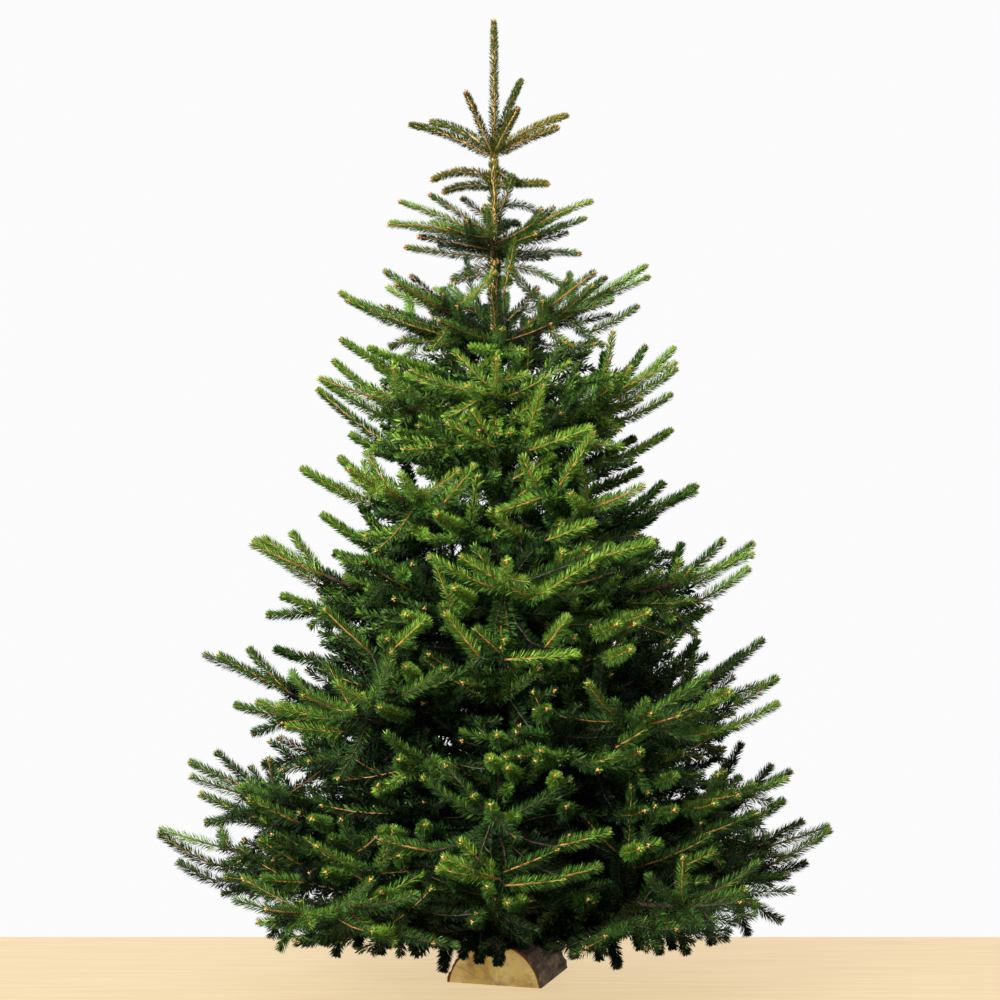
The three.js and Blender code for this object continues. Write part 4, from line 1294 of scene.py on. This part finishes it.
def buds_of(group):
    """The buds at the ends of the youngest stretches: one at the tip and up to three round it."""
    places, headings, sizes, golden = [], [], [], []
    for shoot in group:
        line = shoot["line"]
        tip = line.point(1)
        if not carries_buds(shoot, tip):
            continue
        along = line.heading(1)
        side, over = frame_of(along, reference_for(along))
        scale = float(np.interp(line.size(), *BUD_SIZES)) * (SEEN_BUD if shoot["full"] else 1.0)
        places.append(tip - along * BUD_SUNK)
        headings.append(along)
        sizes.append(scale)
        for k in range(SIDE_BUDS if line.size() > SIDE_BUDS_FROM else 1):
            turn = 2 * math.pi * (k / SIDE_BUDS + vary(shoot["seed"] + 0.9))
            places.append(tip - along * SIDE_BUD_SUNK)
            headings.append(unit(along + side * math.cos(turn) + over * math.sin(turn)))
            sizes.append(SIDE_BUD * scale)
        is_golden = tip[2] < GOLD_BELOW and vary(shoot["seed"] * 4.3) < GOLD_SHARE
        golden += [int(is_golden)] * (len(places) - len(golden))
    root, along, size = np.array(places), np.array(headings), np.array(sizes)[:, None]
    ring = ring_round(along, BUD_SIDES)
    belly = (root + along * BUD_LENGTH * BUD_BELLY * size)[:, None] + ring * (BUD_RADIUS * size)[:, None]
    end = root + along * BUD_LENGTH * size
    corners = np.concatenate([root[:, None], belly, end[:, None]], 1).reshape(-1, 3)
    faces = []
    for k in range(BUD_SIDES):
        here, after = 1 + k, 1 + (k + 1) % BUD_SIDES
        faces += [(0, here, after), (BUD_SIDES + 1, after, here)]
    return corners, repeated(faces, len(root), BUD_SIDES + 2), np.repeat(golden, len(faces))


print("bud rule ready")

# %% Make a mesh from such lists
MOST_FACES = 190_000
triangles = {}


def piece_from(name, made, finishes):
    """One mesh object from corners, triangles and the finish of each triangle."""
    corners, faces, tones = made
    mesh = bpy.data.meshes.new(name)
    mesh.vertices.add(len(corners))
    mesh.vertices.foreach_set("co", np.ascontiguousarray(corners, np.float32).ravel())
    mesh.loops.add(faces.size)
    mesh.loops.foreach_set("vertex_index", np.ascontiguousarray(faces, np.int32).ravel())
    mesh.polygons.add(len(faces))
    mesh.polygons.foreach_set("loop_start", np.arange(0, faces.size, 3, dtype=np.int32))
    for finish in finishes:
        mesh.materials.append(finish)
    tones = np.clip(tones, 0, len(finishes) - 1).astype(np.int32)
    mesh.polygons.foreach_set("material_index", tones)
    mesh.update(calc_edges=True)
    piece = bpy.data.objects.new(name, mesh)
    bpy.context.collection.objects.link(piece)
    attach(piece, "root")
    triangles[name] = len(faces)
    return piece


def in_parts(group):
    """Splits a list of stretches where the needles would be too many for one piece."""
    needles = sum(s["line"].size() / MM * NEEDLES_PER_MM * crowding(s) for s in group if s["needles"])
    parts = math.ceil(needles * 2 / MOST_FACES)
    if parts == 1:
        return [("", group)]
    ordered = sorted(group, key=lambda s: math.atan2(s["line"].start[1], s["line"].start[0]))
    return [(f"_{chr(97 + k)}", ordered[k::parts]) for k in range(parts)]


print("pieces stay under", MOST_FACES, "triangles")

# %% [markdown]
# ## Foliage, tier by tier
# Now each whorl becomes three kinds of pieces: needles, twigs and buds. They take the place of
# the whorl's five masses.

# %% Needles, twigs and buds of every tier
for number in TIERS:
    masses = masses_of_tier[number]
    nodes = [f"{mass}_foliage" for mass in masses]
    group = [s for mass in masses for s in shoots[mass]]
    for suffix, part in in_parts(group):
        needles = piece_from(f"tier_{number}_needles{suffix}", needles_of(part), needle_finishes)
        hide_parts(*nodes)
    twigs = piece_from(f"tier_{number}_twigs", twigs_of(group), [young_twig, painted_shade_twig, old_twig])
    buds = piece_from(f"tier_{number}_buds", buds_of(group), [bud_brown, bud_gold])
    for piece in (twigs, buds):
        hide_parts(*nodes)
print(triangles)

# %% Needles, twigs and buds of the top
top_nodes = ["crown_top", "upper_shoot_left", "upper_shoot_right"]
group = [s for mass in top_nodes for s in shoots[mass]]
for shoot in group:
    shoot["seed"] += 0.5  # deals out other tones
top_needles = piece_from("crown_top_needles", needles_of(group, top=True), top_finishes)
top_twigs = piece_from("crown_top_twigs", twigs_of(group), [top_twig])
top_buds = piece_from("crown_top_buds", buds_of(group), [bud_brown, bud_gold])
for piece, slot in ((top_needles, "top_needles"), (top_twigs, "bough_bark"), (top_buds, "bough_bark")):
    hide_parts(*top_nodes)
print("top needles:", triangles["crown_top_needles"] // 2)

# %% [markdown]
# ## The trunk and the boughs, with their bark
# The bark must show in the outline, not only in the finish. Each limb starts as a closed cone of
# bmesh, is cut into many rings, and is then bent along its line. Noise lifts the flakes and the
# trunk swells to a collar where a bough leaves it.

# %% A limb with bark
GRAIN_STRETCH, GRAIN_ROUGHNESS, GRAIN_STEP, GRAIN_LEVELS = 0.45, 0.7, 2.1, 3


def bark_limb(shape, line, radius_at, sides, rings, relief, grain, reference):
    """Adds a closed, bent and rough limb to a bmesh. Ends are capped."""
    limb = bmesh.new()
    bmesh.ops.create_cone(limb, cap_ends=True, segments=sides, radius1=1, radius2=1, depth=1)
    lengthwise = [e for e in limb.edges if abs(e.verts[0].co.z - e.verts[1].co.z) > 0.5]
    bmesh.ops.subdivide_edges(limb, edges=lengthwise, cuts=rings - 1, use_grid_fill=True)
    for vert in limb.verts:
        share = vert.co.z + 0.5
        along = line.heading(share)
        side, over = frame_of(along, reference)
        centre = line.point(share)
        radius = radius_at(share)
        spot = Vector(centre + (side * vert.co.x - over * vert.co.y) * radius)
        spot.z *= GRAIN_STRETCH
        flakes = noise.fractal(spot * grain, GRAIN_ROUGHNESS, GRAIN_STEP, GRAIN_LEVELS)
        radius += relief * min(1.0, max(-1.0, flakes))
        vert.co = Vector(centre + (side * vert.co.x - over * vert.co.y) * radius)
    made = bpy.data.meshes.new("limb")
    limb.to_mesh(made)
    limb.free()
    shape.from_mesh(made)
    bpy.data.meshes.remove(made)


def piece_of(name, shape, finishes):
    """One mesh object from a bmesh."""
    mesh = bpy.data.meshes.new(name)
    shape.to_mesh(mesh)
    shape.free()
    for finish in finishes:
        mesh.materials.append(finish)
    piece = bpy.data.objects.new(name, mesh)
    bpy.context.collection.objects.link(piece)
    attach(piece, "root")
    triangles[name] = sum(len(f.vertices) - 2 for f in mesh.polygons)
    return piece


print("limbs are ready to be made")

# %% Trunk
TRUNK_RINGS, TRUNK_SIDES = 320, 36
TRUNK_RELIEF, TRUNK_GRAIN = 0.9 * MM, 150
COLLAR_HEIGHT, COLLAR_SWELL = 13 * MM, 2.6 * MM
bough_heights = np.array([b["line"].start[2] for b in boughs] + [FORK_HEIGHT])


def trunk_outline(share):
    """The trunk's radius, with a swelling at each bough."""
    height = float(trunk_line.point(share)[2])
    collars = np.exp(-(((bough_heights - height) / COLLAR_HEIGHT) ** 2)).max()
    return trunk_radius(height) + COLLAR_SWELL * float(collars) * (1 - 0.6 * share)


shape = bmesh.new()
bark_limb(shape, trunk_line, trunk_outline, TRUNK_SIDES, TRUNK_RINGS, TRUNK_RELIEF, TRUNK_GRAIN, RIGHT)
trunk = piece_of("trunk_with_bark", shape, [trunk_bark])
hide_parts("trunk")
print("trunk triangles:", triangles["trunk_with_bark"])

# %% Boughs
BOUGH_SIDES, RING_STEP, LEAST_RINGS = 10, 9 * MM, 8
BOUGH_RELIEF, BOUGH_GRAIN = 0.5 * MM, 260
BOUGH_SWELL = 0.2 * MM  # a bough is that much thicker than the tube of its twigs

for number in TIERS:
    shape = bmesh.new()
    for bough in (b for b in boughs if b["number"] == number):
        last = 1 - bough["year"]
        line = bough["line"].part(0, last)
        rings = max(LEAST_RINGS, round(line.size() / RING_STEP))
        bark_limb(
            shape, line, lambda share: bough_radius(bough, share * last) + BOUGH_SWELL,
            BOUGH_SIDES, rings, BOUGH_RELIEF, BOUGH_GRAIN, UP,
        )  # fmt: skip
    piece = piece_of(f"tier_{number}_boughs", shape, [bough_bark])
    nodes = [f"{m}_bough" if number >= BARE_FROM else f"{m}_foliage" for m in masses_of_tier[number]]
    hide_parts(*nodes)
print("bough triangles:", sum(v for k, v in triangles.items() if k.endswith("_boughs")))

# %% [markdown]
# ### Needles on the upper trunk
# The trunk's last three years still carry needles. They stand close and point up.

# %% Needles on the trunk
NEEDLED_TRUNK = ((1330, 1497, 0), (1160, 1330, 1))  # from and to a height in mm, and its age

trunk_needle_stretches = []
for low, high, age in NEEDLED_TRUNK:
    first, last = ((h * MM - SOCKET_FLOOR) / TRUNK_RISE for h in (low, high))
    radii = (trunk_radius(low * MM), trunk_radius(high * MM))
    trunk_needle_stretches.append(
        dict(line=trunk_line.part(first, last), radii=radii, age=age, order=1, seed=40 + low,
             shade=0, needles=True, bud=False, full=0)
    )  # fmt: skip
trunk_needles = piece_from("trunk_needles", needles_of(trunk_needle_stretches, top=True), top_finishes)
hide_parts("trunk")
print("needles on the trunk:", triangles["trunk_needles"] // 2)

# %% [markdown]
# ## The log
# The stand is half of a round log, split flat for its foot and sawn square at both ends, with a
# hole bored down for the trunk. A disc of bmesh gives the section: a plane cuts it off at the
# foot, and extruding it step by step gives the length, with rows of points in the bark to move.

# %% The log's measures
LOG_WIDTH, LOG_LENGTH, LOG_HEIGHT = 178 * MM, 178 * MM, 78 * MM
LOG_TURN = math.radians(-17)
LOG_RADIUS = ((LOG_WIDTH / 2) ** 2 + LOG_HEIGHT**2) / (2 * LOG_HEIGHT)
LOG_AXIS = LOG_HEIGHT - LOG_RADIUS
PITH = (0.012, 0, LOG_AXIS + 0.006)
BARK_DEPTH = 5.0 * MM
print("log radius, in mm:", round(LOG_RADIUS / MM, 1))

# %% [markdown]
# The sawn end is the log's most telling finish: rings round the pith, pale wood and stains, a few
# radial cracks, and a red-brown rim under the bark. Each is a mask made of noise or of a distance,
# and the colours are mixed one over the other.

# %% Sawn end grain
BLACK, WHITE = (0, 0, 0), (1, 1, 1)
ON_SECTION = (1, 0, 1)  # keeps only what lies in the plane of the cut
RINGS_PER_METRE, RING_WOBBLE, WOBBLE_SCALE = 260, 3.0, 22
PALE_SCALE, STAIN_SCALE, STAIN_SHIFT, CRACK_SCALE = 9, 26, (0.3, 0, 0.1), 5.5
SAW_STRETCH, SAW_SCALE, SAW_STRENGTH, SAW_DEPTH = (1, 1, 9), 60, 0.5, 0.0008
RIM_FROM, RIM_TO = LOG_RADIUS - BARK_DEPTH, LOG_RADIUS - 0.3 * BARK_DEPTH
RING_WOOD = [
    (0.0, (0.70, 0.53, 0.16)),
    (0.7, (0.64, 0.47, 0.14)),
    (0.95, (0.52, 0.36, 0.10)),
    (1.0, (0.68, 0.51, 0.15)),
]
PALE_WOOD, STAIN, CRACK = (0.80, 0.66, 0.29), (0.33, 0.185, 0.085), (0.34, 0.20, 0.080)
PALE_MASK = [(0.45, BLACK), (0.62, WHITE)]
STAIN_MASK = [(0.46, BLACK), (0.66, (0.85, 0.85, 0.85))]
CRACK_MASK = [(0.490, BLACK), (0.5, (0.6, 0.6, 0.6)), (0.510, BLACK)]
RIM_MASK = [(0.0, BLACK), (0.12, WHITE)]
RIM_WOOD = [(0.1, (0.36, 0.10, 0.045)), (0.8, (0.08, 0.04, 0.028))]


def maths(material, kind, operation, *values):
    """A Math or Vector Math node; each value is a socket, a number or three numbers."""
    node = add_node(material, kind, operation=operation)
    for place, value in enumerate(values):
        if isinstance(value, bpy.types.NodeSocket):
            join(material, value, node.inputs[place])
        else:
            node.inputs[place].default_value = value
    gives_vector = kind == "ShaderNodeVectorMath" and operation != "LENGTH"
    return node.outputs["Vector" if gives_vector else "Value"]


def across_from(material, vector, centre):
    """The way from a centre, in the plane of the cut."""
    away = maths(material, "ShaderNodeVectorMath", "SUBTRACT", vector, centre)
    return maths(material, "ShaderNodeVectorMath", "MULTIPLY", away, ON_SECTION)


def ring_wood(material, on_log, from_pith):
    """Growth rings: the distance from the pith, a little wobbly, and its fraction."""
    distance = maths(material, "ShaderNodeVectorMath", "LENGTH", from_pith)
    wobble = noise_on(material, on_log, WOBBLE_SCALE, 3)
    wobble = maths(material, "ShaderNodeMath", "MULTIPLY", wobble, RING_WOBBLE)
    rings = maths(material, "ShaderNodeMath", "MULTIPLY_ADD", distance, RINGS_PER_METRE, wobble)
    return ramp(material, maths(material, "ShaderNodeMath", "FRACT", rings), RING_WOOD)


def crack_mask(material, from_pith):
    """Cracks that run out from the pith: noise over the angle."""
    parts = add_node(material, "ShaderNodeSeparateXYZ")
    join(material, from_pith, parts.inputs["Vector"])
    around = maths(material, "ShaderNodeMath", "ARCTAN2", parts.outputs["Z"], parts.outputs["X"])
    spokes = add_node(material, "ShaderNodeTexNoise", noise_dimensions="1D", Scale=CRACK_SCALE, Detail=2.0)
    join(material, around, spokes.inputs["W"])
    return ramp(material, spokes.outputs["Fac"], CRACK_MASK)


def sawn_finish():
    """Sawn end grain: rings round the pith, radial cracks, stains, and a red-brown rim."""
    material, shader = new_finish("sawn_end", (0.62, 0.44, 0.20), 0.78, 0.25)
    on_log = place_on(material, turn=-LOG_TURN)
    from_pith = across_from(material, on_log, PITH)
    wood = ring_wood(material, on_log, from_pith)
    pale = ramp(material, noise_on(material, on_log, PALE_SCALE, 2), PALE_MASK)
    wood = mixed(material, pale, wood, PALE_WOOD)
    stains = noise_on(material, place_on(material, turn=-LOG_TURN, shift=STAIN_SHIFT), STAIN_SCALE, 5, 0.7)
    wood = mixed(material, ramp(material, stains, STAIN_MASK), wood, STAIN)
    wood = mixed(material, crack_mask(material, from_pith), wood, CRACK)
    from_axis = across_from(material, on_log, (0, 0, LOG_AXIS))
    edge = add_node(material, "ShaderNodeMapRange")
    edge.inputs["From Min"].default_value = RIM_FROM
    edge.inputs["From Max"].default_value = RIM_TO
    join(material, maths(material, "ShaderNodeVectorMath", "LENGTH", from_axis), edge.inputs["Value"])
    rim = ramp(material, edge.outputs["Result"], RIM_MASK)
    wood = mixed(material, rim, wood, ramp(material, edge.outputs["Result"], RIM_WOOD))
    join(material, wood, shader.inputs["Base Color"])
    saw_marks = noise_on(material, place_on(material, scale=SAW_STRETCH, turn=-LOG_TURN), SAW_SCALE, 3)
    bumped(material, shader, saw_marks, SAW_STRENGTH, SAW_DEPTH)
    return material


sawn_end = sawn_finish()
print("finish made:", sawn_end.name)

# %% The log's bark and its split foot
PLATE_STRETCH, PLATE_SCALE = (1, 0.4, 1), 55
PLATE_BARK = [(0.30, (0.035, 0.026, 0.022)), (0.50, (0.140, 0.106, 0.088)), (0.70, (0.310, 0.250, 0.190))]
RIDGE_SCALE, RIDGE_STRENGTH, RIDGE_DEPTH = 210, 0.9, 0.002
SPLIT_STRETCH, SPLIT_SCALE, SPLIT_STRENGTH, SPLIT_DEPTH = (1, 0.06, 1), 120, 0.5, 0.001
SPLIT_WOOD = [(0.35, (0.40, 0.25, 0.11)), (0.65, (0.62, 0.44, 0.22))]


def log_bark_finish():
    """Dark, rough bark: grey-brown ridges with a purplish cast, paler where it is worn."""
    material, shader = new_finish("log_bark", (0.09, 0.06, 0.05), 0.92, 0.2)
    vector = place_on(material, scale=PLATE_STRETCH, turn=-LOG_TURN)
    plates = noise_on(material, vector, PLATE_SCALE, 6, 0.65)
    join(material, ramp(material, plates, PLATE_BARK), shader.inputs["Base Color"])
    bumped(material, shader, noise_on(material, vector, RIDGE_SCALE, 5), RIDGE_STRENGTH, RIDGE_DEPTH)
    return material


def split_finish():
    """The split underside, with the grain running lengthwise."""
    material, shader = new_finish("split_face", (0.55, 0.38, 0.18), 0.8, 0.25)
    grain = noise_on(material, place_on(material, scale=SPLIT_STRETCH, turn=-LOG_TURN), SPLIT_SCALE, 4)
    join(material, ramp(material, grain, SPLIT_WOOD), shader.inputs["Base Color"])
    bumped(material, shader, grain, SPLIT_STRENGTH, SPLIT_DEPTH)
    return material


log_finishes = [sawn_end, log_bark_finish(), split_finish()]
print("log finishes:", [finish.name for finish in log_finishes])

# %% Log
SECTION_POINTS, LOG_STEPS = 132, 60
BARK_RELIEF = 2.4 * MM

shape = bmesh.new()
bmesh.ops.create_circle(shape, cap_ends=True, segments=SECTION_POINTS, radius=LOG_RADIUS)
bmesh.ops.rotate(shape, verts=shape.verts, cent=(0, 0, 0), matrix=Matrix.Rotation(math.pi / 2, 3, "X"))
bmesh.ops.translate(shape, verts=shape.verts, vec=(0, -LOG_LENGTH / 2, LOG_AXIS))
bmesh.ops.bisect_plane(
    shape, geom=shape.verts[:] + shape.edges[:] + shape.faces[:], dist=1e-6,
    plane_co=(0, 0, 0), plane_no=(0, 0, 1), clear_inner=True,
)  # fmt: skip
section = list(shape.faces)
for step in range(LOG_STEPS):
    made = bmesh.ops.extrude_face_region(shape, geom=section)
    moved = [v for v in made["geom"] if isinstance(v, bmesh.types.BMVert)]
    bmesh.ops.translate(shape, verts=moved, vec=(0, LOG_LENGTH / LOG_STEPS, 0))
    ends = [f for f in made["geom"] if isinstance(f, bmesh.types.BMFace)]
    if step > 0:
        bmesh.ops.delete(shape, geom=[f for f in section if f.is_valid], context="FACES_ONLY")
    section = ends
bmesh.ops.recalc_face_normals(shape, faces=shape.faces)
print("log before its relief:", len(shape.faces), "faces")

# %% [markdown]
# The bark is pushed in and out by noise that is stretched along the log, the flat foot stays
# flat, and every face learns which finish it wears from where it lies: sawn ends, split foot, or
# bark. Then the whole log turns to its place and a cutter bores the hole for the trunk.

# %% Bark relief, finishes and place
SAWN, BARK, SPLIT = 0, 1, 2
FOOT_LINE, FOOT_FADE = 0.5 * MM, 10 * MM  # below the line nothing moves, and the relief fades in
RIDGE_ACROSS, RIDGE_ALONG = 60, 22

for face in shape.faces:
    if abs(face.normal.y) > 0.9:
        face.material_index = SAWN
    elif face.normal.z < -0.9:
        face.material_index = SPLIT
    else:
        face.material_index = BARK
for vert in shape.verts:
    if vert.co.z < FOOT_LINE:
        continue
    outward = Vector((vert.co.x, 0, vert.co.z - LOG_AXIS)).normalized()
    spot = Vector((vert.co.x * RIDGE_ACROSS, vert.co.y * RIDGE_ALONG, vert.co.z * RIDGE_ACROSS))
    ridges = noise.fractal(spot, 0.8, 2.0, 4)
    near_foot = min(1.0, vert.co.z / FOOT_FADE)
    vert.co += outward * BARK_RELIEF * near_foot * max(-1.0, min(0.7, 1.4 * ridges - 0.1))
bmesh.ops.rotate(shape, verts=shape.verts, cent=(0, 0, 0), matrix=Matrix.Rotation(LOG_TURN, 3, "Z"))
log = piece_of("halved_log", shape, log_finishes)
print("log with its relief:", triangles["halved_log"], "triangles")

# %% Bore the hole
HOLE_SIDES, HOLE_UNDER, HOLE_LENGTH, HOLE_CLEARANCE = 48, 0.5 * MM, 80, 2.2 * MM

hole = bmesh.new()
bmesh.ops.create_cone(hole, cap_ends=True, segments=HOLE_SIDES, radius1=1, radius2=1, depth=1)
for vert in hole.verts:
    height = SOCKET_FLOOR - HOLE_UNDER + (vert.co.z + 0.5) * HOLE_LENGTH * MM
    radius = trunk_radius(height) + HOLE_CLEARANCE
    centre = trunk_point(height)
    vert.co = Vector((centre[0] + vert.co.x * radius, centre[1] + vert.co.y * radius, height))
hole_mesh = bpy.data.meshes.new("hole")
hole.to_mesh(hole_mesh)
hole.free()
cutter = bpy.data.objects.new("hole", hole_mesh)
bpy.context.collection.objects.link(cutter)
bore = log.modifiers.new("bore", "BOOLEAN")
bore.object, bore.operation, bore.solver = cutter, "DIFFERENCE", "EXACT"
bpy.context.view_layer.update()
bored = bpy.data.meshes.new_from_object(log.evaluated_get(bpy.context.evaluated_depsgraph_get()))
log.modifiers.clear()
log.data = bored
bpy.data.objects.remove(cutter)
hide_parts("log_stand")
print("log faces:", len(bored.polygons), "finishes:", [m.name for m in bored.materials])

# %% [markdown]
# ## The bench
# The floor is a plain pale bench top. Its far edge lies a hand's breadth behind the tree, where
# the white room begins. It isn't part of the tree.

# %% Bench top
BENCH_BACK, BENCH_FRONT, BENCH_SIDE, BENCH_DEPTH = 0.335, -3.2, 3.5, 0.04
BENCH_GLOW = 11.5  # painted light: the bench top glows with its own colour, which keeps the tree's shadow on it faint
BENCH_STRETCH, BENCH_SCALE = (0.5, 9, 1), 7
BENCH_GRAIN = [(0.3, (0.060, 0.0455, 0.0260)), (0.7, (0.067, 0.0520, 0.0315))]

shape = bmesh.new()
bmesh.ops.create_cube(shape, size=1)
bmesh.ops.scale(shape, verts=shape.verts, vec=(2 * BENCH_SIDE, BENCH_BACK - BENCH_FRONT, BENCH_DEPTH))
middle = (0, (BENCH_BACK + BENCH_FRONT) / 2, -BENCH_DEPTH / 2)
bmesh.ops.translate(shape, verts=shape.verts, vec=middle)
bench_mesh = bpy.data.meshes.new("bench")
shape.to_mesh(bench_mesh)
shape.free()
bench_wood, shader = new_finish("bench_wood", (0.80, 0.62, 0.42), 0.55, 0.3)
grain = noise_on(bench_wood, place_on(bench_wood, scale=BENCH_STRETCH), BENCH_SCALE, 4)
tone = ramp(bench_wood, grain, BENCH_GRAIN)
join(bench_wood, tone, shader.inputs["Base Color"])
# painted light: the bench's grain colour also glows
join(bench_wood, tone, shader.inputs["Emission Color"])
shader.inputs["Emission Strength"].default_value = BENCH_GLOW
bench_mesh.materials.append(bench_wood)
bench = bpy.data.objects.new("bench", bench_mesh)
bpy.context.collection.objects.link(bench)
print("bench laid")

# %% [markdown]
# ## Pieces and triangles
# The dressed tree must stay the size of the model. At the end the pieces and their triangles are counted.

# %% Count the pieces and triangles
print("pieces:", len(triangles), "triangles:", sum(triangles.values()))
